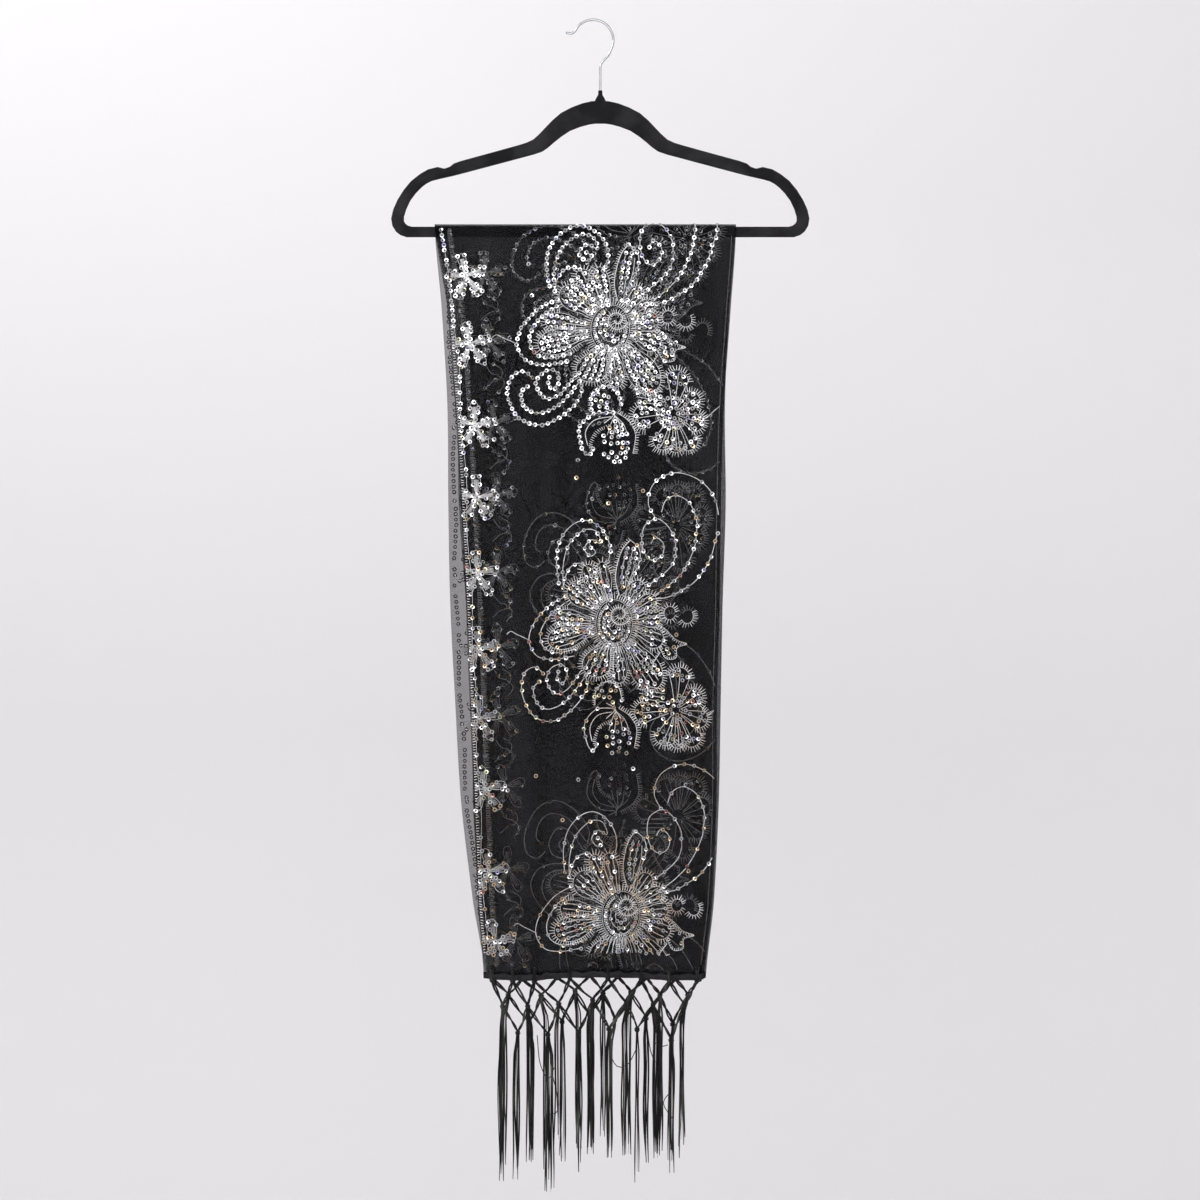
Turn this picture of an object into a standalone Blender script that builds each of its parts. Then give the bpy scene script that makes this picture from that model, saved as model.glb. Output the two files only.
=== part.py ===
# A black net shawl with knotted fringes, folded once lengthwise and hung over the bar of a clothes hanger.
# Metres, +Z up, +X to the viewer's right, who looks along +Y. The origin is the top of the hook's inside.

import math

import bmesh
import bpy

MM = 0.001

# Hook, in metres
WIRE_RADIUS = 0.0013
HOOK_RADIUS = 0.0218
SHANK_X = 0.0078
SHANK_END_Z = -0.0807
ARC_FROM_DEG = 138
ARC_TO_DEG = -28
ARC_STEPS = 14

# Hanger frame, in millimetres measured from the middle of the bar's underside
FRAME_THICKNESS = 5.0
FRAME_EDGE_RADIUS = 2.0
BAR_HEIGHT = 11.2
BAR_UNDERSIDE_Z = -232.2
SECTION_COLUMNS = ("outer_x", "outer_h", "inner_x", "inner_h", "steps")
FRAME_SECTIONS = [
    (0.0, 146.5, 0.0, 121.9, 2),
    (19.0, 143.8, 11.6, 121.1, 2),
    (42.4, 133.3, 32.5, 114.2, 2),
    (59.0, 117.6, 49.8, 101.6, 2),
    (72.0, 104.9, 62.1, 92.0, 2),
    (86.8, 99.1, 82.0, 86.0, 1),
    (104.0, 94.3, 102.0, 80.6, 1),
    (150.0, 81.7, 148.0, 68.4, 1),
    (157.5, 79.0, 157.0, 66.1, 1),
    (161.5, 75.6, 162.0, 64.9, 1),
    (167.5, 73.6, 167.0, 63.8, 1),
    (174.5, 75.4, 173.5, 62.3, 1),
    (184.8, 72.9, 181.5, 60.2, 2),
    (203.0, 60.5, 192.0, 53.5, 2),
    (217.8, 40.0, 204.0, 39.2, 2),
    (224.6, 20.0, 210.8, 22.0, 2),
    (219.6, 6.1, 209.2, 14.5, 2),
    (207.9, 0.0, 202.4, 11.2, 1),
    (190.0, 0.0, 190.0, 11.2, 1),
    (0.0, 0.0, 0.0, 11.2, 1),
]

# Neck boss on the frame's crest: height above the bar's underside, half width, half depth
NECK_COLUMNS = ("height", "half_width", "half_depth")
NECK_RINGS = [
    (138.0, 6.4, 1.6),
    (146.0, 6.1, 2.2),
    (149.0, 4.7, 2.5),
    (152.4, 2.7, 2.4),
    (153.2, 2.3, 2.3),
    (157.2, 2.3, 2.3),
]
NECK_SIDES = 16
SOCKET_RADIUS = 0.0016
SOCKET_DEPTH = 0.006

# Cloth: a wall folded at the right, so that two layers hang in front of the bar and two behind it
WALL = 1.0
LAYER_PITCH = 1.6
BEND_RADIUS = 3.5
BEND_CENTRE_Z = BAR_UNDERSIDE_Z + BAR_HEIGHT - FRAME_THICKNESS / 2
DROP_LENGTH = 803.0
LOW_HALF_GAP = 1.6
GAP_CLOSES_OVER = 300.0
COLUMNS_A_LAYER = 16
FOLD_STEPS = 3
ROWS_A_DROP = 18
BEND_STEPS = 6

# Where the edges hang: distance below the bend, then the x of each edge, all in millimetres
EDGE_COLUMNS = ("down", "front_left", "front_right", "back_left", "back_right")
EDGES = [
    (0, -169.7, 152.5, -170.3, 152.5),
    (80, -156.8, 147.1, -163.2, 146.0),
    (187, -148.2, 139.6, -156.8, 141.0),
    (294, -141.8, 136.4, -155.7, 141.8),
    (402, -136.4, 135.0, -153.6, 138.5),
    (509, -132.1, 132.1, -148.2, 136.4),
    (617, -127.8, 131.5, -141.8, 134.3),
    (724, -123.5, 126.7, -129.0, 128.9),
    (805, -117.1, 118.1, -116.0, 120.3),
]

# Folds stand out from each drop: place across it from selvedge 0 to fold 1, half width, height, where each
# starts and how long it takes to reach its height, and how far it wanders across by the hem
FOLD_COLUMNS = ("across", "half_width", "height", "starts", "grows", "wanders")
FRONT_FOLDS = [
    (0.06, 0.050, 4.0, 60, 260, 0.02),
    (0.24, 0.075, 6.4, 30, 300, -0.03),
    (0.43, 0.060, 4.6, 150, 330, 0.03),
    (0.60, 0.070, 7.2, 60, 420, -0.02),
    (0.79, 0.060, 5.2, 20, 240, 0.04),
    (0.95, 0.045, 3.4, 120, 300, -0.01),
]
BACK_FOLDS = [
    (0.10, 0.060, 5.4, 50, 280, 0.03),
    (0.31, 0.070, 5.0, 90, 300, 0.02),
    (0.52, 0.075, 7.0, 30, 350, -0.04),
    (0.71, 0.055, 4.4, 160, 260, 0.02),
    (0.90, 0.060, 6.0, 40, 320, 0.00),
]
HEM_DIP = 1.8
HEM_WAVES = 1.4

# Fringes, in millimetres
SEAM_GAP = 0.3
STRIP_HEIGHT = 3.6
STRIP_THICKNESS = 2.6
CORD_WIDTH = 1.5
CORD_THICKNESS = 1.3
CORD_SAG = 0.6
KNOT_HEIGHT = 4.4
KNOT_THICKNESS = 2.4
KNOT_BULGE = 0.5
STRAND_WIDTH = 1.2
STRAND_SPACE = 0.5
STRAND_ROOT_WIDTH = 0.7
STRAND_ROOT_SPACE = 0.35
STRAND_STEPS = 4
STRAND_END_STAGGER = 5.0
GATHER_LENGTH = 26.0
FREE_END_WAVE = 0.4
CALMS_OVER = 150.0

# A knot row: x of the knot, its depth below the hem, x of its tassel, depth of the tassel's tip, strands
TASSEL_COLUMNS = ("knot_x", "knot_drop", "tassel_x", "tip_drop", "strands")
FRONT_HEADS = [-108.5, -85.9, -62.6, -24.7, 16.1, 51.6, 81.6, 111.5]
FRONT_UPPER_KNOTS = [
    (-96.7, 27, -97.7, 221, 3),
    (-69.8, 26, -67.7, 200, 4),
    (-36.8, 26, -39.1, 186, 2),
    (-0.3, 23, -2.7, 195, 4),
    (36.0, 27, 33.3, 196, 3),
    (64.4, 26, 68.7, 197, 5),
    (98.3, 25, 95.0, 196, 2),
]
FRONT_LOWER_KNOTS = [
    (-80.6, 55, -82.2, 219, 4),
    (-48.3, 58, -46.7, 233, 5),
    (-15.5, 58, -14.0, 214, 2),
    (17.2, 54, 17.2, 199, 4),
    (47.3, 54, 47.3, 225, 2),
    (83.8, 63, 84.3, 212, 3),
]
BACK_HEADS = [-108.0, -76.3, -38.7, -3.2, 26.9, 58.0, 89.1, 114.5]
BACK_UPPER_KNOTS = [
    (-91.3, 17, -95.6, 205, 3),
    (-55.8, 17, -50.5, 210, 3),
    (-19.3, 15, -16.1, 190, 3),
    (10.7, 18, 10.7, 178, 3),
    (40.8, 16, 37.6, 196, 3),
    (72.0, 17, 72.0, 190, 3),
    (102.0, 17, 95.6, 185, 2),
]
BACK_LOWER_KNOTS = [
    (-68.7, 46, -65.5, 200, 2),
    (-33.3, 47, -32.8, 203, 3),
    (-3.2, 44, -2.1, 190, 3),
    (23.6, 46, 18.3, 190, 3),
    (56.9, 43, 56.9, 204, 3),
    (85.9, 48, 83.8, 200, 3),
]

FRONT, BACK = -1, 1


def rows_of(columns, rows):
    """Reads a table into one dictionary for each row."""
    return [dict(zip(columns, row)) for row in rows]


def clear_scene():
    for obj in list(bpy.data.objects):
        bpy.data.objects.remove(obj, do_unlink=True)


def make_material(name, colour, roughness, metallic=0.0):
    material = bpy.data.materials.new(name)
    material.use_nodes = True
    shader = material.node_tree.nodes["Principled BSDF"]
    shader.inputs["Base Color"].default_value = (*colour, 1.0)
    shader.inputs["Roughness"].default_value = roughness
    shader.inputs["Metallic"].default_value = metallic
    return material


def add_object(name, mesh, material):
    obj = bpy.data.objects.new(name, mesh)
    obj.data.materials.append(material)
    bpy.context.scene.collection.objects.link(obj)
    return obj


def mesh_from(name, bm):
    bmesh.ops.recalc_face_normals(bm, faces=bm.faces)
    mesh = bpy.data.meshes.new(name)
    bm.to_mesh(mesh)
    bm.free()
    mesh.shade_smooth()
    mesh.set_sharp_from_angle(angle=math.radians(40))
    return mesh


def lerp(start, end, t):
    return start + (end - start) * t


def ease(t):
    """Goes smoothly from 0 to 1 as t does."""
    t = min(max(t, 0.0), 1.0)
    return t * t * (3 - 2 * t)


def curve_value(before, start, end, after, t):
    """A smooth curve from start to end that also heeds the values before and after them."""
    return 0.5 * (
        2 * start
        + (end - before) * t
        + (2 * before - 5 * start + 4 * end - after) * t * t
        + (3 * start - before - 3 * end + after) * t ** 3
    )


def table_value(rows, key, column, at):
    """The column's value at the place where the key column equals at."""
    last = len(rows) - 1
    index = 0
    while index < last - 1 and rows[index + 1][key] < at:
        index += 1
    start, end = rows[index], rows[index + 1]
    before, after = rows[max(index - 1, 0)], rows[min(index + 2, last)]
    t = (at - start[key]) / (end[key] - start[key])
    return curve_value(before[column], start[column], end[column], after[column], t)


def loft(bm, rings, closed_ways):
    """Skins rings of points. The skin either joins its last ring to its first or is capped at both ends."""
    made = [[bm.verts.new(point) for point in ring] for ring in rings]
    pairs = list(zip(made, made[1:]))
    if closed_ways:
        pairs.append((made[-1], made[0]))
    for ring, following in pairs:
        count = len(ring)
        for i in range(count):
            j = (i + 1) % count
            bm.faces.new((ring[i], ring[j], following[j], following[i]))
    if not closed_ways:
        bm.faces.new(made[0])
        bm.faces.new(made[-1])


def frame_stations():
    """Places round the frame as (outer x, outer height, inner x, inner height), crest first."""
    rows = rows_of(SECTION_COLUMNS, FRAME_SECTIONS)
    last = len(rows) - 1

    def value(index, column):
        mirrored = index < 0 or index > last
        row = rows[abs(index)] if index < 0 else rows[min(index, 2 * last - index)]
        sign = -1 if mirrored and column.endswith("_x") else 1
        return sign * row[column]

    half = []
    for index in range(last):
        for step in range(rows[index]["steps"]):
            t = step / rows[index]["steps"]
            half.append(tuple(
                curve_value(*(value(index + k, column) for k in (-1, 0, 1, 2)), t)
                for column in SECTION_COLUMNS[:4]
            ))
    half.append(tuple(rows[last][column] for column in SECTION_COLUMNS[:4]))
    mirrored = [(-ox, oh, -ix, ih) for ox, oh, ix, ih in half[-2:0:-1]]
    return half + mirrored


def frame_ring(outer_x, outer_h, inner_x, inner_h):
    """A cross section with round edges, as points of the part's own frame."""
    width = math.hypot(inner_x - outer_x, inner_h - outer_h)
    radius = FRAME_EDGE_RADIUS
    flank = FRAME_THICKNESS / 2 - radius
    far = width - radius
    corners = [(radius, -flank, 180), (far, -flank, 270), (far, flank, 0), (radius, flank, 90)]
    ring = []
    for across, depth, start in corners:
        for turn in (0, 45, 90):
            angle = math.radians(start + turn)
            t = (across + radius * math.cos(angle)) / width
            ring.append((
                SHANK_X + MM * lerp(outer_x, inner_x, t),
                MM * (depth + radius * math.sin(angle)),
                MM * (BAR_UNDERSIDE_Z + lerp(outer_h, inner_h, t)),
            ))
    return ring


def ellipse_ring(row):
    angles = [math.tau * i / NECK_SIDES for i in range(NECK_SIDES)]
    z = MM * (BAR_UNDERSIDE_Z + row["height"])
    return [
        (SHANK_X + MM * row["half_width"] * math.cos(a), MM * row["half_depth"] * math.sin(a), z)
        for a in angles
    ]


def hide_helper(obj):
    obj.hide_render = True
    obj.display_type = "WIRE"


def build_frame(material):
    bm = bmesh.new()
    loft(bm, [frame_ring(*station) for station in frame_stations()], closed_ways=True)
    frame = add_object("hanger_frame", mesh_from("hanger_frame", bm), material)

    bm = bmesh.new()
    loft(bm, [ellipse_ring(row) for row in rows_of(NECK_COLUMNS, NECK_RINGS)], closed_ways=False)
    boss = add_object("neck_boss", mesh_from("neck_boss", bm), material)
    hide_helper(boss)

    bm = bmesh.new()
    bmesh.ops.create_cone(
        bm, cap_ends=True, segments=12, radius1=SOCKET_RADIUS, radius2=SOCKET_RADIUS, depth=2 * SOCKET_DEPTH
    )
    socket = add_object("neck_socket", mesh_from("neck_socket", bm), material)
    socket.location = (SHANK_X, 0, MM * (BAR_UNDERSIDE_Z + NECK_RINGS[-1][0]))
    hide_helper(socket)

    for name, operation, helper in (("boss", "UNION", boss), ("socket", "DIFFERENCE", socket)):
        modifier = frame.modifiers.new(name, "BOOLEAN")
        modifier.operation = operation
        modifier.solver = "EXACT"
        modifier.object = helper


def hook_route():
    """The wire's middle line: a bent-out tip, the round arc, a slanted run and the upright shank."""
    tip = [(-0.0293, -0.0125), (-0.0261, -0.0133), (-0.0228, -0.0133), (-0.0196, -0.0112)]
    centre_z = WIRE_RADIUS - HOOK_RADIUS
    arc = []
    for step in range(ARC_STEPS + 1):
        angle = math.radians(lerp(ARC_FROM_DEG, ARC_TO_DEG, step / ARC_STEPS))
        arc.append((HOOK_RADIUS * math.cos(angle), centre_z + HOOK_RADIUS * math.sin(angle)))
    slant = [(0.0165, -0.0365), (0.0103, -0.0437), (0.0083, -0.0468)]
    return tip + arc + slant + [(SHANK_X, -0.0505), (SHANK_X, SHANK_END_Z)]


def build_hook(material):
    curve = bpy.data.curves.new("hanger_hook", "CURVE")
    curve.dimensions = "3D"
    curve.bevel_depth = WIRE_RADIUS
    curve.bevel_resolution = 2
    curve.use_fill_caps = True
    route = hook_route()
    spline = curve.splines.new("POLY")
    spline.points.add(len(route) - 1)
    for point, (x, z) in zip(spline.points, route):
        point.co = (x, 0, z, 1)
    add_object("hanger_hook", curve, material)


def hem_dip(across):
    return HEM_DIP * math.sin(math.tau * HEM_WAVES * across)


def fold_height(folds, across, down):
    """How far a drop stands out at this place, in millimetres."""
    total = 0.0
    for fold in folds:
        middle = fold["across"] + fold["wanders"] * down / DROP_LENGTH
        total += (
            fold["height"]
            * math.exp(-(((across - middle) / fold["half_width"]) ** 2))
            * ease((down - fold["starts"]) / fold["grows"])
        )
    return total


class Drop:
    """One of the two lengths of doubled cloth that hang from the bar."""

    def __init__(self, side, edges, folds):
        self.side = side
        self.edges = edges
        self.folds = folds
        self.word = "front" if side == FRONT else "back"

    def edge(self, which, down):
        return table_value(self.edges, "down", f"{self.word}_{which}", down)

    def x(self, across, down):
        return lerp(self.edge("left", down), self.edge("right", down), across)

    def depth(self, layer, across, down):
        """The y of a layer's middle: layer 0 lies next to the bar and layer 1 outside it."""
        half_gap = lerp(BEND_RADIUS, LOW_HALF_GAP, ease(down / GAP_CLOSES_OVER))
        return self.side * (half_gap + layer * LAYER_PITCH + fold_height(self.folds, across, down))

    def z(self, across, down):
        return BEND_CENTRE_Z - down * (1 + hem_dip(across) / DROP_LENGTH)

    def point(self, place, down):
        across, layer, beyond = place
        x = self.x(across, down) + beyond
        return (MM * x, MM * self.depth(layer, across, down), MM * self.z(across, down))


def across_places():
    """Places across the doubled cloth as (across, layer, how far beyond the fold line)."""
    outer = [(i / COLUMNS_A_LAYER, 1.0, 0.0) for i in range(COLUMNS_A_LAYER + 1)]
    turn = []
    for step in range(1, FOLD_STEPS + 1):
        angle = math.pi * step / (FOLD_STEPS + 1)
        turn.append((1.0, 0.5 + 0.5 * math.cos(angle), 0.5 * LAYER_PITCH * math.sin(angle)))
    inner = [(across, 0.0, 0.0) for across, _, _ in reversed(outer)]
    return outer + turn + inner


def bend_point(front, place, turn):
    """A point of the cloth where it goes over the bar: turn 0 is level with the bend's centre in front."""
    across, layer, beyond = place
    radius = BEND_RADIUS + layer * LAYER_PITCH
    angle = math.pi * turn
    x = front.x(across, 0) + beyond
    return (MM * x, -MM * radius * math.cos(angle), MM * (BEND_CENTRE_Z + radius * math.sin(angle)))


def build_cloth(front, back, material):
    places = across_places()
    downs = [DROP_LENGTH * row / ROWS_A_DROP for row in range(ROWS_A_DROP + 1)]
    rows = [[front.point(place, down) for place in places] for down in reversed(downs)]
    turns = [step / BEND_STEPS for step in range(1, BEND_STEPS)]
    rows += [[bend_point(front, place, turn) for place in places] for turn in turns]
    rows += [[back.point(place, down) for place in places] for down in downs]
    bm = bmesh.new()
    made = [[bm.verts.new(point) for point in row] for row in rows]
    for upper, lower in zip(made, made[1:]):
        for i in range(len(places) - 1):
            bm.faces.new((upper[i], upper[i + 1], lower[i + 1], lower[i]))
    cloth = add_object("shawl_cloth", mesh_from("shawl_cloth", bm), material)
    wall = cloth.modifiers.new("wall", "SOLIDIFY")
    wall.thickness = MM * WALL
    wall.offset = 0.0
    wall.use_even_offset = True


class FringeSheet:
    """The flat plan of a fringe, in millimetres as (x, depth below the hem), before it gets its thickness."""

    def __init__(self):
        self.bm = bmesh.new()
        self.thick = self.bm.verts.layers.float.new("thick")

    def vert(self, x, drop, thickness):
        made = self.bm.verts.new((x, 0, -drop))
        made[self.thick] = thickness
        return made

    def face(self, *verts):
        self.bm.faces.new(verts)

    def cord(self, top_edge, bottom_edge):
        """A cord between two edges, each given left to right. Its middle hangs a little."""
        middle = []
        for top, bottom in zip(top_edge, bottom_edge):
            x, z = (top.co.x + bottom.co.x) / 2, (top.co.z + bottom.co.z) / 2
            middle.append(self.vert(x, CORD_SAG - z, CORD_THICKNESS))
        self.face(top_edge[0], top_edge[1], middle[1], middle[0])
        self.face(middle[0], middle[1], bottom_edge[1], bottom_edge[0])

    def strand(self, root, row, place):
        """One strand, from its root edge down to its own tip."""
        pitch = STRAND_WIDTH + STRAND_SPACE
        x = row["tassel_x"] + (place - (row["strands"] - 1) / 2) * pitch
        gathered = row["knot_drop"] + KNOT_HEIGHT + GATHER_LENGTH
        tip = row["tip_drop"] - STRAND_END_STAGGER * ((place * 2 + 1) % 3)
        above = root
        for step in range(STRAND_STEPS):
            drop = lerp(gathered, tip, step / (STRAND_STEPS - 1))
            below = [self.vert(x + side * STRAND_WIDTH / 2, drop, CORD_THICKNESS) for side in (-1, 1)]
            self.face(above[0], above[1], below[1], below[0])
            above = below

    def knot(self, row, has_side_cords):
        """A knot with a place for a cord at each side. Its strands hang from its underside."""
        x, drop, count = row["knot_x"], row["knot_drop"], row["strands"]
        pitch = STRAND_ROOT_WIDTH + STRAND_ROOT_SPACE
        foot = (count - 1) / 2 * pitch + STRAND_ROOT_WIDTH / 2
        waist = max(CORD_WIDTH, foot) + KNOT_BULGE
        top = [self.vert(x + side * CORD_WIDTH, drop, CORD_THICKNESS) for side in (-1, 0, 1)]
        widest = drop + 0.45 * KNOT_HEIGHT
        sides = [self.vert(x + side * waist, widest, KNOT_THICKNESS) for side in (-1, 1)]
        roots = []
        for place in range(count):
            middle = x + (place - (count - 1) / 2) * pitch
            roots.append([
                self.vert(middle + side * STRAND_ROOT_WIDTH / 2, drop + KNOT_HEIGHT, CORD_THICKNESS)
                for side in (-1, 1)
            ])
        underside = [vert for root in roots for vert in root]
        self.face(*top, sides[1], *reversed(underside), sides[0])
        for place, root in enumerate(roots):
            self.strand(root, row, place)
        lower = {}
        if has_side_cords:
            lower = {"left": [sides[0], underside[0]], "right": [underside[-1], sides[1]]}
        return {"upper_left": top[:2], "upper_right": top[1:], **lower}


def strip_breaks(left, right, heads):
    """Places along the heading strip where it has points: its ends, at the heads and between them."""
    breaks = [left, right]
    for head in heads:
        breaks += [head - CORD_WIDTH, head, head + CORD_WIDTH]
    for first, second in zip(heads, heads[1:]):
        breaks.append((first + second) / 2)
    return sorted(breaks)


def add_strip(sheet, breaks, heads):
    """The heading strip. Returns the edge that each head's left and right cord hangs from."""
    top = [sheet.vert(x, SEAM_GAP, STRIP_THICKNESS) for x in breaks]
    bottom = [sheet.vert(x, SEAM_GAP + STRIP_HEIGHT, STRIP_THICKNESS) for x in breaks]
    for i in range(len(breaks) - 1):
        sheet.face(top[i], top[i + 1], bottom[i + 1], bottom[i])
    edges = {}
    for head in heads:
        i = breaks.index(head)
        edges[head] = {"left": [bottom[i - 1], bottom[i]], "right": [bottom[i], bottom[i + 1]]}
    return edges


def build_fringe(name, drop, heads, upper_rows, lower_rows, material):
    sheet = FringeSheet()
    left = drop.edge("left", DROP_LENGTH)
    right = drop.edge("right", DROP_LENGTH)
    head_edges = add_strip(sheet, strip_breaks(left, right, heads), heads)
    upper = [sheet.knot(row, True) for row in upper_rows]
    lower = [sheet.knot(row, False) for row in lower_rows]
    for i, knot in enumerate(upper):
        sheet.cord(head_edges[heads[i]]["right"], knot["upper_left"])
        sheet.cord(head_edges[heads[i + 1]]["left"], knot["upper_right"])
    for i, knot in enumerate(lower):
        sheet.cord(upper[i]["right"], knot["upper_left"])
        sheet.cord(upper[i + 1]["left"], knot["upper_right"])

    bm, thick = sheet.bm, sheet.thick
    near = list(bm.verts)
    extruded = bmesh.ops.extrude_face_region(bm, geom=list(bm.faces), use_keep_orig=True)
    far = [item for item in extruded["geom"] if isinstance(item, bmesh.types.BMVert)]
    for verts, sign in ((near, -1), (far, 1)):
        for vert in verts:
            vert.co.y = sign * vert[thick] / 2
    for vert in bm.verts:
        across = (vert.co.x - left) / (right - left)
        fade = lerp(1.0, FREE_END_WAVE, ease(-vert.co.z / CALMS_OVER))
        middle = drop.depth(0.5, across, DROP_LENGTH) * fade
        vert.co.y += middle
        vert.co.z += drop.z(across, DROP_LENGTH)
        vert.co *= MM
    add_object(name, mesh_from(name, bm), material)


def main():
    clear_scene()
    flock = make_material("black_flock", (0.012, 0.012, 0.013), 0.95)
    chrome = make_material("plated_wire", (0.78, 0.79, 0.80), 0.18, metallic=1.0)
    net = make_material("black_net", (0.015, 0.015, 0.018), 0.75)
    thread = make_material("black_thread", (0.012, 0.014, 0.013), 0.45)

    edges = rows_of(EDGE_COLUMNS, EDGES)
    front = Drop(FRONT, edges, rows_of(FOLD_COLUMNS, FRONT_FOLDS))
    back = Drop(BACK, edges, rows_of(FOLD_COLUMNS, BACK_FOLDS))

    build_frame(flock)
    build_hook(chrome)
    build_cloth(front, back, net)
    for name, drop, heads, upper, lower in (
        ("front_fringe", front, FRONT_HEADS, FRONT_UPPER_KNOTS, FRONT_LOWER_KNOTS),
        ("back_fringe", back, BACK_HEADS, BACK_UPPER_KNOTS, BACK_LOWER_KNOTS),
    ):
        upper_rows, lower_rows = rows_of(TASSEL_COLUMNS, upper), rows_of(TASSEL_COLUMNS, lower)
        build_fringe(name, drop, heads, upper_rows, lower_rows, thread)


main()
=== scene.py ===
import math

import bmesh
import bpy
import numpy as np
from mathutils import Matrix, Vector
from mathutils.kdtree import KDTree


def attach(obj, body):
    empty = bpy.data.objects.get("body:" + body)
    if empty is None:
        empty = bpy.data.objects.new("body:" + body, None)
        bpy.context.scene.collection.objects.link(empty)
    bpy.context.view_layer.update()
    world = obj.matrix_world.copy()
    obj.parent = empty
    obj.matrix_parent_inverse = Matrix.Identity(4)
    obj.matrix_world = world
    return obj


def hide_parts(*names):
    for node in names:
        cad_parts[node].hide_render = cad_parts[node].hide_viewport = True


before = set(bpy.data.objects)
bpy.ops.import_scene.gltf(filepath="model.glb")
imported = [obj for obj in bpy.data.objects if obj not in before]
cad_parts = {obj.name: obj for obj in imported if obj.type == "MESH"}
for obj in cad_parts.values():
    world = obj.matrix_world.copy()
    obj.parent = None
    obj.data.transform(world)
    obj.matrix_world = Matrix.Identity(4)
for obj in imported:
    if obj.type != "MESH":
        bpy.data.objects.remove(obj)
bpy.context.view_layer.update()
mm = 0.001
front, back = -1, 1
print("packed model loaded")


# Small sums that several pieces share

def lerp(start, end, t):
    return start + (end - start) * t


def ease(t):
    t = np.clip(t, 0.0, 1.0)
    return t * t * (3 - 2 * t)


def unit(vectors):
    return vectors / np.linalg.norm(vectors, axis=-1, keepdims=True)


def curveValue(before, start, end, after, t):
    # from start to end on a smooth curve that heeds the values before and after them
    return 0.5 * (
        2 * start
        + (end - before) * t
        + (2 * before - 5 * start + 4 * end - after) * t * t
        + (3 * start - before - 3 * end + after) * t ** 3
    )


def alongTable(rows, column, at):
    # the column's value where the table's first column equals at
    table = np.array(rows, float)
    keys, values = table[:, 0], table[:, column]
    last = len(keys) - 1
    i = np.clip(np.searchsorted(keys, at) - 1, 0, last - 1)
    t = (at - keys[i]) / (keys[i + 1] - keys[i])
    before, after = values[np.maximum(i - 1, 0)], values[np.minimum(i + 2, last)]
    return curveValue(before, values[i], values[i + 1], after, t)


def smoothLine(points, step):
    # points an even step apart on a smooth line through a few given ones
    given = np.array(points, float)
    padded = np.vstack([given[:1], given, given[-1:]])
    fine = [curveValue(*padded[i:i + 4], t) for i in range(len(given) - 1) for t in np.arange(0, 1, 0.1)]
    fine = np.array(fine + [given[-1]])
    travelled = np.concatenate([[0], np.cumsum(np.linalg.norm(np.diff(fine, axis=0), axis=1))])
    marks = np.linspace(0, travelled[-1], max(2, round(travelled[-1] / step) + 1))
    return np.column_stack([np.interp(marks, travelled, fine[:, k]) for k in range(fine.shape[1])])


# Materials: grain is a noise's scale, detail and stretch. It sets the colour between the two tones, and the
# roughness within shine. Relief is another grain, with the bump's strength and distance
finishes = {
    # the net's streaks down the drop, between its two tones, are painted shade of soft folds
    "netCloth": {
        "roughness": 0.8, "sockets": {"Alpha": 0.415, "Specular IOR Level": 0.12},
        "grain": (40, 1, (1, 1, 0.09)), "tones": ((0.002, 0.002, 0.0026), (0.009, 0.009, 0.011)),
    },
    # the hem's colour follows the same grain as its relief, darker in the crumple's hollows and lighter on its ridges:
    # painted shade
    "hemCloth": {
        "roughness": 0.75, "sockets": {"Specular IOR Level": 0.2},
        "grain": (240, 4, (0.35, 1, 1)), "tones": ((0.005, 0.005, 0.006), (0.021, 0.021, 0.024)),
        "shine": (0.6, 0.85), "relief": ((240, 4, (0.35, 1, 1)), 0.7, 0.0012),
    },
    "sequinFoil": {
        "roughness": 0.25, "sockets": {"Metallic": 1.0}, "grain": (900, 2), "shine": (0.14, 0.32),
    },
    "silverThread": {
        "roughness": 0.45, "sockets": {"Metallic": 0.1, "Sheen Weight": 0.2},
        "grain": (700, 2), "tones": ((0.70, 0.70, 0.71), (0.95, 0.95, 0.95)), "shine": (0.35, 0.6),
    },
    # the fringe's greenish-grey streaks in its black are painted highlights
    "fringeThread": {
        "roughness": 0.4, "sockets": {"Specular IOR Level": 0.22},
        "grain": (160, 3, (1, 1, 0.12)), "tones": ((0.003, 0.0035, 0.003), (0.085, 0.092, 0.078)),
        "band": (0.5, 0.78), "shine": (0.28, 0.5), "relief": ((900, 1, (1, 1, 0.5)), 0.4, 0.0005),
    },
    "blackFlock": {
        "roughness": 0.95, "sockets": {
            "Sheen Weight": 0.06, "Sheen Roughness": 0.45, "Sheen Tint": (0.5, 0.5, 0.55, 1),
            "Specular IOR Level": 0.15,
        },
        "grain": (26, 3), "tones": ((0.010, 0.010, 0.011), (0.034, 0.034, 0.037)),
        "band": (0.4, 0.8), "relief": ((1400, 2), 0.6, 0.0006),
    },
    "platedWire": {
        "roughness": 0.12, "sockets": {"Metallic": 1.0}, "colour": (0.46, 0.47, 0.49),
        "grain": (300, 2), "shine": (0.08, 0.2),
    },
}


def addNode(material, kind, **settings):
    node = material.node_tree.nodes.new(kind)
    for key, value in settings.items():
        if key in node.inputs:
            node.inputs[key].default_value = value
        else:
            setattr(node, key, value)
    return node


def join(material, output, target):
    material.node_tree.links.new(output, target)


def place(material, kind="Object"):
    return addNode(material, "ShaderNodeTexCoord").outputs[kind]


def noiseOn(material, scale, detail, stretch=(1, 1, 1)):
    mapping = addNode(material, "ShaderNodeMapping", Scale=stretch)
    texture = addNode(material, "ShaderNodeTexNoise", Scale=scale, Detail=detail)
    join(material, place(material), mapping.inputs["Vector"])
    join(material, mapping.outputs["Vector"], texture.inputs["Vector"])
    return texture.outputs["Fac"]


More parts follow.
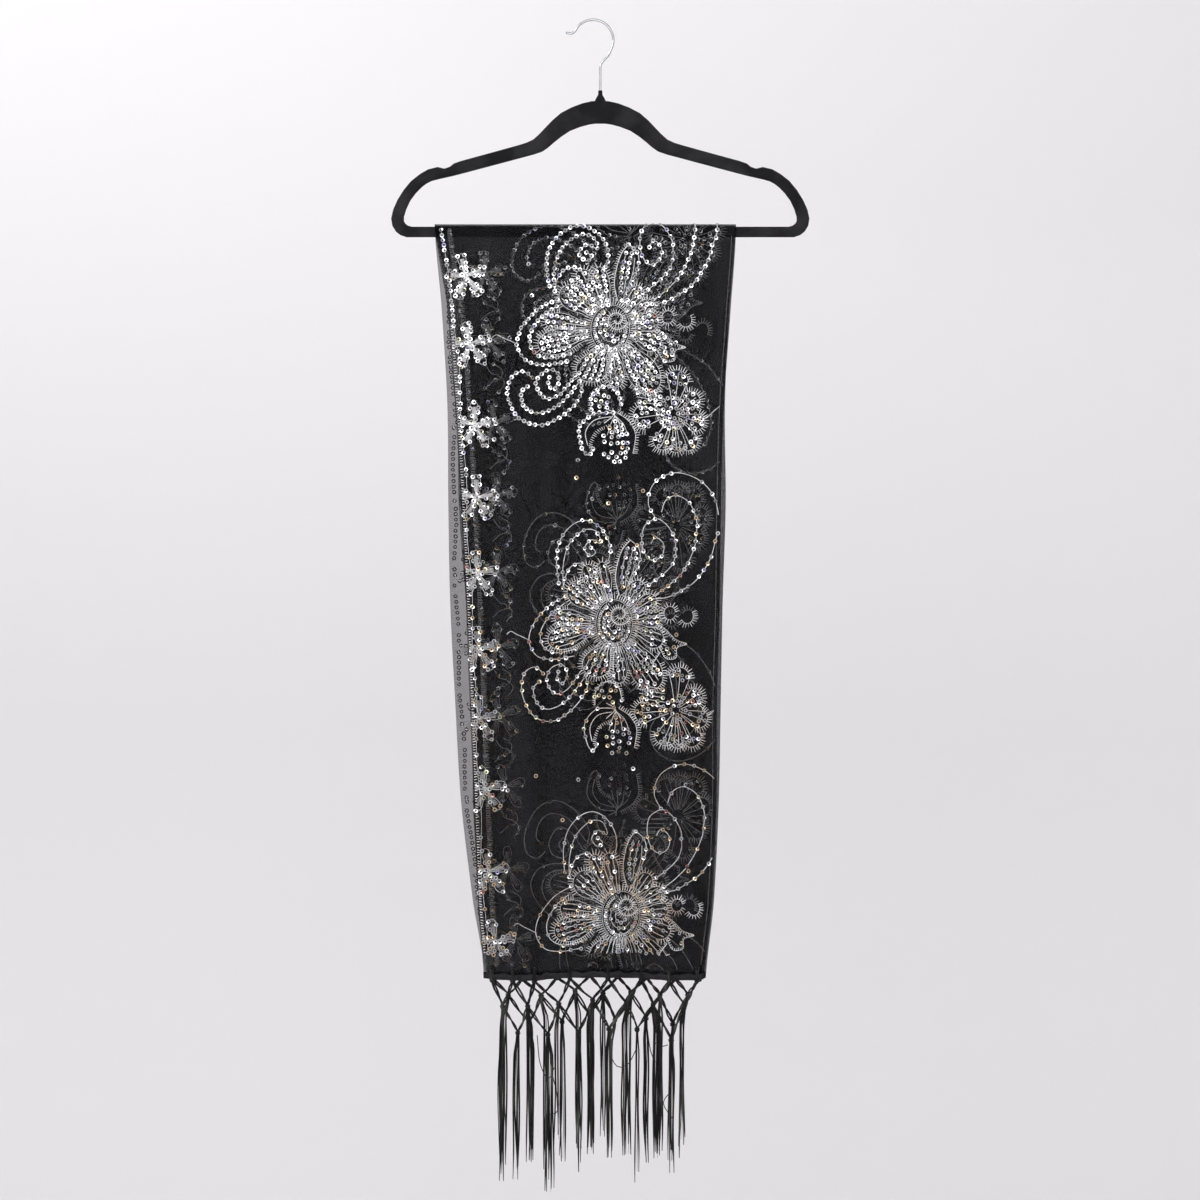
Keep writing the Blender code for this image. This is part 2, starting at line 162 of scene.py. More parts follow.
def blendColours(material, amount, tones, band):
    ramp = addNode(material, "ShaderNodeValToRGB")
    for stop, position, tone in zip(ramp.color_ramp.elements, band, tones):
        stop.position = position
        stop.color = (*tone, 1)
    join(material, amount, ramp.inputs["Fac"])
    return ramp.outputs["Color"]


def spread(material, amount, low, high, start=0.3, end=0.7):
    limits = {"From Min": start, "From Max": end, "To Min": low, "To Max": high}
    area = addNode(material, "ShaderNodeMapRange", **limits)
    join(material, amount, area.inputs["Value"])
    return area.outputs["Result"]


def addBump(material, shader, height, strength, distance):
    bump = addNode(material, "ShaderNodeBump", Strength=strength, Distance=distance)
    join(material, height, bump.inputs["Height"])
    join(material, bump.outputs["Normal"], shader.inputs["Normal"])


def newMaterial(
    name, roughness, colour=None, sockets={}, grain=None, tones=None, band=(0.35, 0.65), shine=None, relief=None
):
    material = bpy.data.materials.new(name)
    material.use_nodes = True
    shader = material.node_tree.nodes["Principled BSDF"]
    base = colour or (tones[0] if tones else (0.8, 0.8, 0.82))
    for key, value in {"Base Color": (*base, 1), "Roughness": roughness, **sockets}.items():
        shader.inputs[key].default_value = value
    amount = noiseOn(material, *grain) if grain else None
    if tones:
        join(material, blendColours(material, amount, tones, band), shader.inputs["Base Color"])
    if shine:
        join(material, spread(material, amount, *shine), shader.inputs["Roughness"])
    if relief:
        bumps, strength, distance = relief
        addBump(material, shader, noiseOn(material, *bumps), strength, distance)
    return material, shader


def weaveNet(material, shader, cells=850.0):
    holes = addNode(material, "ShaderNodeTexVoronoi", voronoi_dimensions="2D", Scale=cells, Randomness=0.25)
    join(material, place(material, "UV"), holes.inputs["Vector"])
    addBump(material, shader, holes.outputs["Distance"], 0.15, 0.0003)


def tintSequins(material, shader):
    tint = addNode(material, "ShaderNodeAttribute", attribute_name="tint")
    join(material, tint.outputs["Color"], shader.inputs["Base Color"])


def warmThreads(material, shader, warm=(0.58, 0.43, 0.34)):
    # warm patches, which grow stronger down the drop
    colour = shader.inputs["Base Color"].links[0].from_socket
    height = addNode(material, "ShaderNodeSeparateXYZ")
    join(material, place(material), height.inputs["Vector"])
    share = addNode(material, "ShaderNodeMath", operation="MULTIPLY", use_clamp=True)
    join(material, spread(material, height.outputs["Z"], 0.0, 1.0, -0.45, -0.95), share.inputs[0])
    join(material, spread(material, noiseOn(material, 24, 1), -0.5, 1.0), share.inputs[1])
    warmed = addNode(material, "ShaderNodeMix", data_type="RGBA")
    join(material, share.outputs["Value"], warmed.inputs["Factor"])
    join(material, colour, warmed.inputs[6])
    warmed.inputs[7].default_value = (*warm, 1)
    join(material, warmed.outputs[2], shader.inputs["Base Color"])


finished = {name: newMaterial(name, **finish) for name, finish in finishes.items()}
weaveNet(*finished["netCloth"])
tintSequins(*finished["sequinFoil"])
warmThreads(*finished["silverThread"])
netCloth, hemCloth, sequinFoil, silverThread, fringeThread, blackFlock, platedWire = (
    material for material, _ in finished.values()
)
print("materials made")


def newObject(name, data):
    obj = bpy.data.objects.new(name, data)
    bpy.context.scene.collection.objects.link(obj)
    return obj


def addPiece(name, mesh, material):
    obj = newObject(name, mesh)
    mesh.materials.clear()
    mesh.materials.append(material)
    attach(obj, "root")
    return obj


def closeMesh(name, bm):
    bmesh.ops.recalc_face_normals(bm, faces=bm.faces)
    mesh = bpy.data.meshes.new(name)
    bm.to_mesh(mesh)
    bm.free()
    mesh.shade_smooth()
    return mesh


def gridOf(columns, rows):
    # a flat grid, with the column and row of each of its points
    bm = bmesh.new()
    bmesh.ops.create_grid(bm, x_segments=columns - 1, y_segments=rows - 1, size=0.5)
    bm.verts.index_update()
    flat = np.array([vert.co[:2] for vert in bm.verts]) + 0.5
    i, j = np.rint(flat * (columns - 1, rows - 1)).astype(int).T
    return bm, i, j


def layCloth(name, bm, points, material, thickness):
    for vert, point in zip(bm.verts, points):
        vert.co = Vector(point) * mm
    piece = addPiece(name, closeMesh(name, bm), material)
    wall = piece.modifiers.new("wall", "SOLIDIFY")
    wall.thickness = thickness * mm
    wall.offset = 0
    return piece


def turned(profile, steps, closed=False):
    # a profile turned round the Z axis
    bm = bmesh.new()
    verts = [bm.verts.new((x, 0, z)) for x, z in profile]
    edges = [bm.edges.new(pair) for pair in zip(verts, verts[1:] + verts[:closed])]
    bmesh.ops.spin(
        bm, geom=verts + edges, cent=(0, 0, 0), axis=(0, 0, 1), angle=math.tau, steps=steps, use_merge=True
    )
    bmesh.ops.remove_doubles(bm, verts=bm.verts, dist=0.0005)
    bmesh.ops.recalc_face_normals(bm, faces=bm.faces)
    return bm


# The cloth's form, in millimetres, the same as its solid's, with narrower creases added
shawl = {
    "wall": 0.35,
    "layerPitch": 1.6,
    "bendRadius": 3.5,
    "bendCentreZ": -223.5,
    "dropLength": 803.0,
    "lowHalfGap": 1.6,
    "gapClosesOver": 300.0,
    "hemDip": 1.8,
    "hemWaves": 1.4,
    "innerSelvedge": {front: 0.018, back: 0.052},
    "columnsALayer": 56,
    "foldSteps": 6,
    "rowLength": 11.0,
    "bendSteps": 10,
    # down from the bend, then front left, front right, back left and back right edge
    "edges": [
        (0, -169.7, 152.5, -170.3, 152.5),
        (80, -156.8, 147.1, -163.2, 146.0),
        (187, -148.2, 139.6, -156.8, 141.0),
        (294, -141.8, 136.4, -155.7, 141.8),
        (402, -136.4, 135.0, -153.6, 138.5),
        (509, -132.1, 132.1, -148.2, 136.4),
        (617, -127.8, 131.5, -141.8, 134.3),
        (724, -123.5, 126.7, -129.0, 128.9),
        (805, -117.1, 118.1, -116.0, 120.3),
    ],
    # place across, half width, height, where it starts, how long it grows, how far it wanders
    "frontFolds": [
        (0.06, 0.050, 4.0, 60, 260, 0.02),
        (0.24, 0.075, 6.4, 30, 300, -0.03),
        (0.43, 0.060, 4.6, 150, 330, 0.03),
        (0.60, 0.070, 7.2, 60, 420, -0.02),
        (0.79, 0.060, 5.2, 20, 240, 0.04),
        (0.95, 0.045, 3.4, 120, 300, -0.01),
        (0.15, 0.014, 0.9, 20, 160, 0.03),
        (0.34, 0.018, -0.7, 90, 200, -0.02),
        (0.52, 0.012, 0.8, 200, 200, 0.04),
        (0.70, 0.016, 0.9, 10, 140, -0.03),
        (0.87, 0.013, -0.8, 60, 180, 0.02),
    ],
    "backFolds": [
        (0.10, 0.060, 5.4, 50, 280, 0.03),
        (0.31, 0.070, 5.0, 90, 300, 0.02),
        (0.52, 0.075, 7.0, 30, 350, -0.04),
        (0.71, 0.055, 4.4, 160, 260, 0.02),
        (0.90, 0.060, 6.0, 40, 320, 0.00),
        (0.20, 0.014, 0.9, 40, 160, 0.02),
        (0.42, 0.016, -0.8, 20, 200, 0.03),
        (0.62, 0.013, 0.8, 120, 200, -0.03),
        (0.81, 0.015, 0.9, 60, 160, 0.03),
    ],
}


def standOut(folds, across, down):
    total = np.zeros_like(across)
    for place, halfWidth, height, starts, grows, wanders in folds:
        middle = place + wanders * down / shawl["dropLength"]
        bulge = np.exp(-(((across - middle) / halfWidth) ** 2))
        total += height * bulge * ease((down - starts) / grows)
    return total


def bendArc(layer):
    return math.pi * (shawl["bendRadius"] + layer * shawl["layerPitch"])


def dropPlace(along, layer):
    # along runs down the front; below 0 it goes over the bar and down the back
    arc = bendArc(layer)
    side = np.where(along > -arc / 2, front, back)
    down = np.maximum(np.where(along >= 0, along, -along - arc), 0.0)
    return side, down


def alongDrop(side, down, layer):
    return down if side == front else -down - bendArc(layer)


def innerSelvedge(side):
    # how far the inner layer's selvedge lies inside the outer one's, as a share of the width
    return np.where(side < 0, shawl["innerSelvedge"][front], shawl["innerSelvedge"][back])


def clothEdges(side, down):
    edges = [alongTable(shawl["edges"], column, down) for column in (1, 2, 3, 4)]
    return np.where(side < 0, edges[0], edges[2]), np.where(side < 0, edges[1], edges[3])


def acrossOf(x, along, layer):
    left, right = clothEdges(*dropPlace(along, layer))
    return (x - left) / (right - left)


def clothAt(across, along, layer, beyond=0.0):
    # the middle of a layer: layer 0 lies next to the bar, layer 1 outside it
    across, along, layer, beyond = (
        np.array(v, float) for v in np.broadcast_arrays(across, along, layer, beyond)
    )
    side, down = dropPlace(along, layer)
    left, right = clothEdges(side, down)
    x = lerp(left, right, across) + beyond
    halfGap = lerp(shawl["bendRadius"], shawl["lowHalfGap"], ease(down / shawl["gapClosesOver"]))
    folds = np.where(
        side < 0,
        standOut(shawl["frontFolds"], across, down),
        standOut(shawl["backFolds"], across, down),
    )
    y = side * (halfGap + layer * shawl["layerPitch"] + folds)
    dip = shawl["hemDip"] * np.sin(math.tau * shawl["hemWaves"] * across) / shawl["dropLength"]
    z = shawl["bendCentreZ"] - down * (1 + dip)
    arc = bendArc(layer)
    angle = math.pi * np.clip(-along / arc, 0, 1)
    overBar = (along < 0) & (along > -arc)
    y = np.where(overBar, -arc / math.pi * np.cos(angle), y)
    z = np.where(overBar, shawl["bendCentreZ"] + arc / math.pi * np.sin(angle), z)
    return np.stack([x, y, z], axis=-1)


def clothFrame(x, along, layer):
    # places on a layer, with the directions to the right and outwards there
    here = clothAt(acrossOf(x, along, layer), along, layer)
    right = clothAt(acrossOf(x + 1, along, layer), along, layer) - here
    lower = clothAt(acrossOf(x, along + 1, layer), along + 1, layer) - here
    outward = unit(np.cross(lower, right))
    right = unit(right)
    return here, right, outward


def buildNet():
    arc = bendArc(0.5)
    fall = np.linspace(0, shawl["dropLength"], round(shawl["dropLength"] / shawl["rowLength"]) + 1)
    over = np.linspace(0, 1, shawl["bendSteps"] + 1)[1:-1]
    columns = np.linspace(0, 1, shawl["columnsALayer"] + 1)
    turn = math.pi * np.arange(1, shawl["foldSteps"]) / shawl["foldSteps"]
    across = np.concatenate([columns, np.ones(len(turn)), columns[::-1]])
    layer = np.concatenate([np.ones(len(columns)), 0.5 + 0.5 * np.cos(turn), np.zeros(len(columns))])
    beyond = np.concatenate([0 * columns, 0.5 * shawl["layerPitch"] * np.sin(turn), 0 * columns])
    drops = np.concatenate([fall[::-1], 0 * over, -fall])
    bends = np.concatenate([0 * fall, over, 1 + 0 * fall])
    bm, i, j = gridOf(len(across), len(drops))
    along = drops[j] - bends[j] * bendArc(layer[i])
    # the inner layer's selvedge lies a little further in
    side, down = dropPlace(along, layer[i])
    inset = innerSelvedge(side) * (1 + 0.3 * np.sin(down / 70 + side)) * ease(down / 60)
    places = across[i] + inset * (1 - across[i]) * (layer[i] == 0)
    points = clothAt(places, along, layer[i], beyond[i])
    cloth = bm.loops.layers.uv.new("cloth")
    width = 0.32
    for face in bm.faces:
        for loop in face.loops:
            k = loop.vert.index
            u = across[i[k]] if layer[i[k]] >= 0.5 else 2 - across[i[k]]
            loop[cloth].uv = (u * width, (along[k] + arc) * mm)
    net = layCloth("shawlNet", bm, points, netCloth, shawl["wall"])
    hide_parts("shawl_cloth")
    return net


shawlNet = buildNet()
print("net laid over the bar")


# Each drop ends in a dense rolled band round both of its layers
hem = {"height": 5.5, "thickness": 0.5, "columns": 120, "crumple": 0.9, "sway": 0.9}


def buildHem(name, side):
    profile = [  # how far below the band's top, layer, and lift out of that layer
        (0.0, 1, 0.25), (1.4, 1, 0.6), (3.4, 1, 0.85), (5.0, 1, 0.8), (6.0, 1, 0.3),
        (6.4, 0.5, 0.0), (6.0, 0, -0.3), (5.0, 0, -0.7), (3.4, 0, -0.7), (0.0, 0, -0.25),
    ]
    fall, layer, lift = np.array(profile, float).T
    bm, i, j = gridOf(hem["columns"] + 1, len(profile))
    across = lerp(-0.001, 1.002, i / hem["columns"])
    wave = np.sin(across * 61 + side) + 0.7 * np.sin(across * 97 + 2) + 0.5 * np.sin(across * 171 + j)
    down = shawl["dropLength"] - hem["height"] + fall[j] + hem["sway"] * wave * (0.8 - 0.1 * fall[j])
    along = alongDrop(side, down, layer[j])
    points = clothAt(across, along, layer[j])
    puff = lift[j] + 0.22 * hem["crumple"] * wave * np.sign(lift[j])
    points[:, 1] += side * puff
    return layCloth(name, bm, points, hemCloth, hem["thickness"])


hemBands = [buildHem("hemFront", front), buildHem("hemBack", back)]
print("hems rolled")


# Sewing is drawn flat in millimetres, then laid on the hanging cloth
sewing = {
    "threadRadius": 0.45,
    "threadStep": 1.7,
    "lashRadius": 0.42,
    "lashSpacing": 2.4,
    "lashLength": 5.2,
    "sequinRadius": 2.35,
    "holeRadius": 1.2,
    "sequinGap": 4.6,
    # the sequins' underside faces are painted this dark: painted shade
    "underside": 0.05,
    "sequinLift": 0.45,
    "threadLift": 0.40,
    "dipDepth": 0.9,
    "dipReach": 2.3,
    "tilt": 0.15,
    "tintsTurnFrom": 180.0,
    "tintsTurnOver": 420.0,
    "edgeMargin": 0.006,
    "hemMargins": (9.0, 25.0),  # of the inner and the outer layer
}


class Stitches:
    # sewing drawn flat: sequins as x, y and size, lashes as their two ends, and threads as lines

    def __init__(self, seed, every, keep, swell=1.0):
        self.random = np.random.default_rng(seed)
        self.every = every
        self.keep = keep
        self.swell = swell
        self.sequins = []
        self.lashes = []
        self.threads = []

    def thread(self, points, thickness=1.0):
        self.threads.append((smoothLine(points, sewing["threadStep"]), thickness))

    def sequinRow(self, points, every=None, keep=None, stray=0.25):
        line = smoothLine(points, every or self.every)
        keep = self.keep if keep is None else keep
        kept = line[self.random.random(len(line)) < keep]
        kept = kept + self.random.normal(0, stray, kept.shape)
        size = self.random.uniform(0.92, 1.08, len(kept))
        self.sequins.append(np.column_stack([kept, size]))

    def lashRow(self, points, length=None, side=1, spacing=None):
        line = smoothLine(points, spacing or sewing["lashSpacing"])
        ahead = unit(np.gradient(line, axis=0))
        left = np.column_stack([-ahead[:, 1], ahead[:, 0]])
        reach = (length or sewing["lashLength"]) * self.random.uniform(0.78, 1.15, (len(line), 1))
        lean = self.random.normal(0, 0.45, (len(line), 1))
        self.lashes.append(np.column_stack([line, line + side * left * reach + ahead * lean]))

    def lashed(self, points, thickness, *length, **settings):
        self.thread(points, thickness)
        self.lashRow(points, *length, **settings)

    def strung(self, points, every, thickness):
        self.sequinRow(points, every)
        self.thread(points, thickness)

    def scroll(self, points):
        self.thread(points)
        self.sequinRow(points, keep=min(1.0, self.keep + 0.1))

    def copyTo(self, target, place):
        # place turns flat points into places on the cloth
        for rows in self.sequins:
            target.sequins.append(np.column_stack([place(rows[:, :2]), rows[:, 2] * self.swell]))
        for rows in self.lashes:
            target.lashes.append(np.column_stack([place(rows[:, :2]), place(rows[:, 2:])]))
        for line, thickness in self.threads:
            target.threads.append((place(line), thickness * self.swell ** 2))


def ring(centre, width, height, startDeg, endDeg, count=13):
    angles = np.radians(np.linspace(startDeg, endDeg, count))
    return np.column_stack([centre[0] + width * np.cos(angles), centre[1] + height * np.sin(angles)])


def snail(centre, small, large, startDeg, turns, count=22):
    t = np.linspace(0, 1, count)
    angle = np.radians(startDeg) + math.tau * turns * t
    radius = lerp(small, large, t)
    return np.column_stack([centre[0] + radius * np.cos(angle), centre[1] + radius * np.sin(angle)])


# A large flower: places are measured from the middle of its disc, y upwards
flower = {
    "discWidth": 20.0,
    "discHeight": 26.0,
    "petalFoot": 25.0,
    # tip x, tip y, width, rows, which edges are lashed
    "petals": [
        (50, 7, 22, 3, "tip"),
        (53, -20, 22, 3, "tip"),
        (46, -68, 34, 5, "tip"),
        (5, -66, 19, 3, "tip"),
        (-25, -59, 30, 4, "both"),
        (-71, -20, 26, 4, "both"),
        (-64, 7, 20, 3, "tip"),
        (-47, 41, 26, 4, "tip"),
        (-30, 61, 18, 3, "tip"),
        (-13, 64, 14, 2, "tip"),
        (30, 44, 18, 3, "tip"),
        (45, 27, 17, 3, "tip"),
    ],
    "scrolls": [
        [(-6, 64), (-4, 75), (-7, 89), (-17, 102), (-31, 108), (-45, 103), (-57, 88), (-61, 67), (-59, 43)],
        [(-24, 79), (-19, 74), (-25, 70), (-31, 78), (-24, 87), (-14, 83), (-19, 96), (-33, 97), (-48, 82),
         (-54, 60), (-54, 38)],
        [(-26, 57), (-35, 63), (-45, 60), (-51, 51), (-54, 39)],
        [(-52, 29), (-70, 19), (-86, 0), (-91, -19), (-82, -35), (-64, -39), (-43, -36)],
        [(-53, 22), (-69, 9), (-79, -9), (-76, -25), (-62, -32), (-41, -28)],
        [(-76, -53), (-85, -46), (-96, -53), (-98, -74), (-86, -98), (-65, -105), (-43, -93), (-29, -73),
         (-31, -58)],
        [(-80, -62), (-86, -69), (-82, -85), (-69, -92), (-50, -84), (-32, -61)],
        [(-59, -53), (-61, -60), (-55, -66), (-50, -56), (-56, -45), (-68, -49), (-72, -62), (-63, -76),
         (-49, -72), (-35, -52)],
    ],
    # on these the sequins sit further apart
    "looseGap": 8.6,
    "looseScrolls": [
        [(39, 86), (44, 93), (52, 87), (52, 77), (47, 70), (39, 68), (32, 75), (29, 88), (31, 102), (37, 109),
         (46, 113), (55, 108), (61, 100), (65, 91), (65, 83), (65, 75), (62, 65), (57, 58), (50, 51), (38, 41)],
        [(51, 120), (56, 132), (68, 137), (82, 129), (89, 111), (88, 96), (87, 87), (81, 71), (72, 55), (66, 48),
         (53, 36), (37, 25)],
        [(44, 114), (37, 128), (41, 146), (54, 157), (72, 160), (93, 152), (108, 134), (113, 106), (109, 90),
         (104, 73), (96, 58), (85, 44), (72, 35), (57, 27), (39, 25)],
    ],
    # middle and radius of each lobe
    "lobes": [
        (70, -57, 11.5), (84, -78, 11), (89, -100, 11), (81, -121, 11.5), (68, -125, 9), (55, -119, 12),
        (34, -96, 12.5),
    ],
    "lobedMiddle": (65, -91),
    "jumps": [
        [(98, -98), (106, -93), (110, -89), (116, -84)],
        [(-114, -12), (-110, -9), (-104, -12), (-97, -15), (-91, -18)],
    ],
}


def towards(tipX, tipY):
    # the way to a petal's tip: its length, and the directions ahead and to the left
    length = math.hypot(tipX, tipY)
    return length, np.array([tipX, tipY]) / length, np.array([-tipY, tipX]) / length


def sewPetal(stitches, tipX, tipY, width, rows, lashed):
    length, ahead, left = towards(tipX, tipY)
    foot = flower["petalFoot"]

    def place(reach, sideways):
        spreadOut = lerp(0.45, 1.0, ease(reach / 0.6))
        return ahead * lerp(foot, length, reach) + left * sideways * spreadOut * width / 2

    outline = []
    for t in np.linspace(-1, 1, 17):
        reach = 1 - abs(t) ** 1.6
        rounding = math.sqrt(max(0.0, 1 - max(0.0, (reach - 0.62) / 0.38) ** 2))
        outline.append(place(reach, np.sign(t) * rounding))
    outline = np.array(outline)  # from the right side's foot, over the tip, to the left side's foot
    stitches.thread(outline, 0.55)
    edge = {"tip": outline[4:13], "both": outline[1:16]}[lashed]
    stitches.lashRow(edge, side=-1)
    for k in range(rows):
        sideways = ((k + 0.5) / rows * 2 - 1) * 0.84
        end = 0.62 + 0.38 * math.sqrt(1 - sideways ** 2) - 0.08
        row = [place(reach, sideways) for reach in np.linspace(0.0, end, 5)]
        stitches.strung(row, 5.2, 1.0)


def sewDisc(stitches):
    wide, high = flower["discWidth"], flower["discHeight"]
    middle = (0, -1)
    stitches.lashRow(ring(middle, wide + 1, high + 1, 0, 360, 33), 7.0, side=-1, spacing=2.3)
    stitches.thread(ring(middle, wide, high, 0, 360, 33), 0.6)
    stitches.lashRow(ring(middle, wide - 2, high - 2, 110, 400, 33), 3.4, side=1, spacing=2.2)
    for share, start, end in ((0.80, 120, 350), (0.55, 130, 330), (0.30, 150, 320)):
        stitches.strung(ring(middle, wide * share, high * share, start, end), 5.0, 0.7)
    curl = snail((6, 9), 3, 12, 200, 1.4)
    stitches.lashed(curl, 1.0, 4.4, side=-1, spacing=2.0)
    stitches.lashRow(curl, 2.4, side=1, spacing=2.2)


def sewLeafAbove(stitches):
    leftEdge = [(6, 30), (2, 46), (4, 63), (9, 78), (17, 88)]
    rightEdge = [(17, 88), (26, 80), (27, 67), (20, 49), (11, 30)]
    stitches.lashed(leftEdge, 1.0, 3.4)
    stitches.scroll(rightEdge)
    for line in ([(9, 38), (9, 58), (14, 79)], [(12, 38), (15, 58), (20, 79)], [(14, 38), (21, 58), (23, 74)]):
        stitches.strung(line, 5.0, 0.8)


def sewBudBelow(stitches):
    cap = [(-20, -90), (-19, -75), (-8, -65), (4, -70), (8, -84)]
    stitches.scroll(cap)
    stitches.lashRow(cap, 2.8, side=1)
    for height, start, end in ((-74, -13, 1), (-80, -15, 5), (-86, -12, 4)):
        stitches.sequinRow([(start, height), ((start + end) / 2, height - 2), (end, height)], 5.0, stray=0.7)
    for sway in (-1, 1):
        stitches.thread([(sway * 4 - 4, -88), (1, -94), (sway * 8, -104)])
    leftLeaf = [(0, -93), (-19, -95), (-31, -110), (-28, -130), (-22, -137), (-18, -130)]
    stitches.scroll(leftLeaf)
    stitches.thread([(-2, -97), (-17, -101), (-25, -113), (-23, -127)])
    stitches.lashRow([(-4, -105), (-16, -112), (-22, -126), (-20, -134)], 3.6, side=1)
    rightLeaf = [(5, -93), (17, -101), (24, -114), (22, -134)]
    stitches.lashed(rightLeaf, 0.7, 4.6)
    for x, top, bottom in ((-7, -118, -133), (-1.5, -108, -139), (4, -102, -143), (9.5, -105, -143), (15, -109, -139)):
        stitches.sequinRow([(x - 2, top), (x + 1, (top + bottom) / 2), (x - 1, bottom)], 4.9, stray=0.8)
    for x in (-6, 0, 8, 15):
        stitches.thread([(2, -96), (x * 0.6 + 2, -104), (x + 1, -116)], 0.8)


def sewTulip(stitches):
    outline = [(50, -3), (58, -9), (67, -18), (79, -22), (68, -26), (67, -36), (56, -37), (50, -26)]
    stitches.lashed(outline, 0.6, 2.6, side=-1)
    stitches.sequinRow([(54, -8), (62, -18), (65, -30)], 5.0)
    stitches.sequinRow([(52, -14), (56, -22), (59, -32)], 5.0)
    tail = [(50, -31), (42, -43), (42, -52), (50, -53)]
    stitches.lashed(tail, 1.0, 2.6, side=-1)
    for curl in (ring((60, 10), 6, 7, 10, 335), ring((78.5, 6.5), 6.5, 7.5, -150, 35)):
        stitches.lashed(curl, 0.5, 5.0, side=-1, spacing=2.1)


def sewLobedFlower(stitches):
    middleX, middleY = flower["lobedMiddle"]
    for x, y, radius in flower["lobes"]:
        angle, reach = math.atan2(y - middleY, x - middleX), math.hypot(x - middleX, y - middleY)
        angleDeg = math.degrees(angle)
        rim = ring((x, y), radius, radius, angleDeg - 82, angleDeg + 82, 15)
        stitches.lashed(rim, 0.45, 5.4, side=-1, spacing=2.3)
        out = reach + radius * 0.7
        for turn in (-0.3, 0.0, 0.3):
            tip = ring((middleX, middleY), out, out, 0, math.degrees(angle + turn), 2)[1]
            root = lerp(np.array([middleX, middleY]), tip, 0.2)
            stitches.thread([root, lerp(root, tip, 0.5) + 0.6, tip], 0.8)
        for inner, half in ((radius - 2.6, 105), (radius - 7.4, 120)):
            stitches.sequinRow(ring((x, y), inner, inner, angleDeg - half, angleDeg + half, 9), 4.9)
    for radius in (5.5, 11.0, 16.5):
        stitches.sequinRow(ring((middleX, middleY), radius, radius, 0, 345, 15), 5.2)
    for step in range(5):
        y = -66 - 4.6 * step
        stitches.sequinRow([(26 + step, y), (38, y - 1.5), (52, y - 3)], 5.6)
        stitches.thread([(24 + step, y), (38, y - 1.5), (54, y - 3)], 0.8)


def drawFlower(seed, every, keep, swell, withJumps):
    stitches = Stitches(seed, every, keep, swell)
    for points in flower["scrolls"]:
        stitches.scroll(points)
    for points in flower["looseScrolls"]:
        stitches.thread(points)
        stitches.sequinRow(points, max(flower["looseGap"], every))
    for points in flower["jumps"] * withJumps:
        stitches.thread(points, 0.8)
    sewLeafAbove(stitches)
    sewBudBelow(stitches)
    sewTulip(stitches)
    sewLobedFlower(stitches)
    for petal in flower["petals"]:
        sewPetal(stitches, *petal)
    sewDisc(stitches)
    return stitches


# A small star flower, five petals of satin stitch with sequins round their tips
star = {
    "petals": [(-3, 22), (20, 5), (13.5, -20), (-10, -22), (-19, 3)],
    "width": 8.4,
    "strands": 5,
    "sequinEvery": 4.6,
    "thinsFrom": 200.0,
    "thinsOver": 350.0,
}


def drawStar(seed, keep, full):
    stitches = Stitches(seed, star["sequinEvery"], keep * lerp(0.75, 1.0, full))
    for tip in star["petals"]:
        length, ahead, left = towards(*tip)
        outline = [
            ahead * length * reach + left * sideways * star["width"] / 2
            for reach, sideways in (
                (0.22, -0.3), (0.55, -0.8), (0.85, -1.05), (1.06, -0.55), (1.06, 0.55), (0.85, 1.05), (0.55, 0.8),
                (0.22, 0.3),
            )
        ]
        stitches.sequinRow(outline)
        stitches.thread(outline, 0.5)
        for k in range(star["strands"]):
            sideways = (k / (star["strands"] - 1) - 0.5) * 0.5 * star["width"]
            start, end = ahead * 0.5 + left * sideways * 0.5, ahead * length * 0.84 + left * sideways
            thickness = stitches.random.uniform(0.5, 0.95) * lerp(0.4, 1.0, full)
            stitches.thread([start, (start + end) / 2 + left * 0.2, end], thickness)
    stitches.sequinRow([(-2.5, 1), (0, 0), (2.5, -1)], 2.4)
    return stitches


# Where the sewing goes: x, how far down the front, and how full of sequins each flower is
layout = {
    "flowerColumns": ("x", "along", "every", "keep", "swell", "stretch"),
    "frontFlowers": [
        (20.4, 106, 5.9, 0.98, 1.0, 1.13), (22.6, 423, 8.4, 0.74, 0.95, 1.0), (29.6, 735, 11.0, 0.50, 0.91, 1.0),
    ],
    "frontGhosts": [
        (38.0, 102, 5.8, 0.95, 1.0, 1.26), (24.0, 409, 11.0, 0.55, 0.95, 1.0), (25.0, 719, 18.0, 0.3, 0.9, 1.0),
    ],
    "backFlowers": [
        (20.4, -228, 6.2, 0.95, 1.0, 1.05), (21.0, -543, 7.2, 0.8, 1.0, 1.0), (24.0, -846, 9.0, 0.6, 0.95, 1.0),
    ],
    "backGhosts": [
        (20.4, -220, 6.4, 0.9, 1.0, 1.0), (21.0, -530, 9.0, 0.6, 0.95, 1.0), (24.0, -836, 14.0, 0.4, 0.9, 1.0),
    ],
    # x and down of each star flower in front
    "frontStars": [
        (-136.4, 51), (-131.8, 124), (-126.4, 210), (-124, 288), (-123.5, 369), (-122.5, 450), (-121.5, 524),
        (-115.5, 600), (-111.7, 688), (-104.2, 763),
    ],
    "starStep": 80.0,
    "starInset": 27.0,
    "ghostShift": 21.0,
    "strays": 46,
}

# Beads and stitches along the selvedge, and leafy stems between the inner layer's stars
border = {
    "beadInset": 6.5,
    "innerShift": 9.0,
    "sway": 1.3,
    "swayLength": 19.0,
    "fullPoints": 28,
    "beadGaps": (5.4, 5.9),  # of the full stretch and of the one below it
    "chainInset": 13.0,
    "foldInset": 3.6,
    "selvedgeInset": 1.8,
    "stems": [
        [(4, 24), (13, 30), (12, 39), (3, 43), (-5, 50)],
        [(-4, 26), (2, 34), (9, 36), (16, 44), (10, 54)],
    ],
}


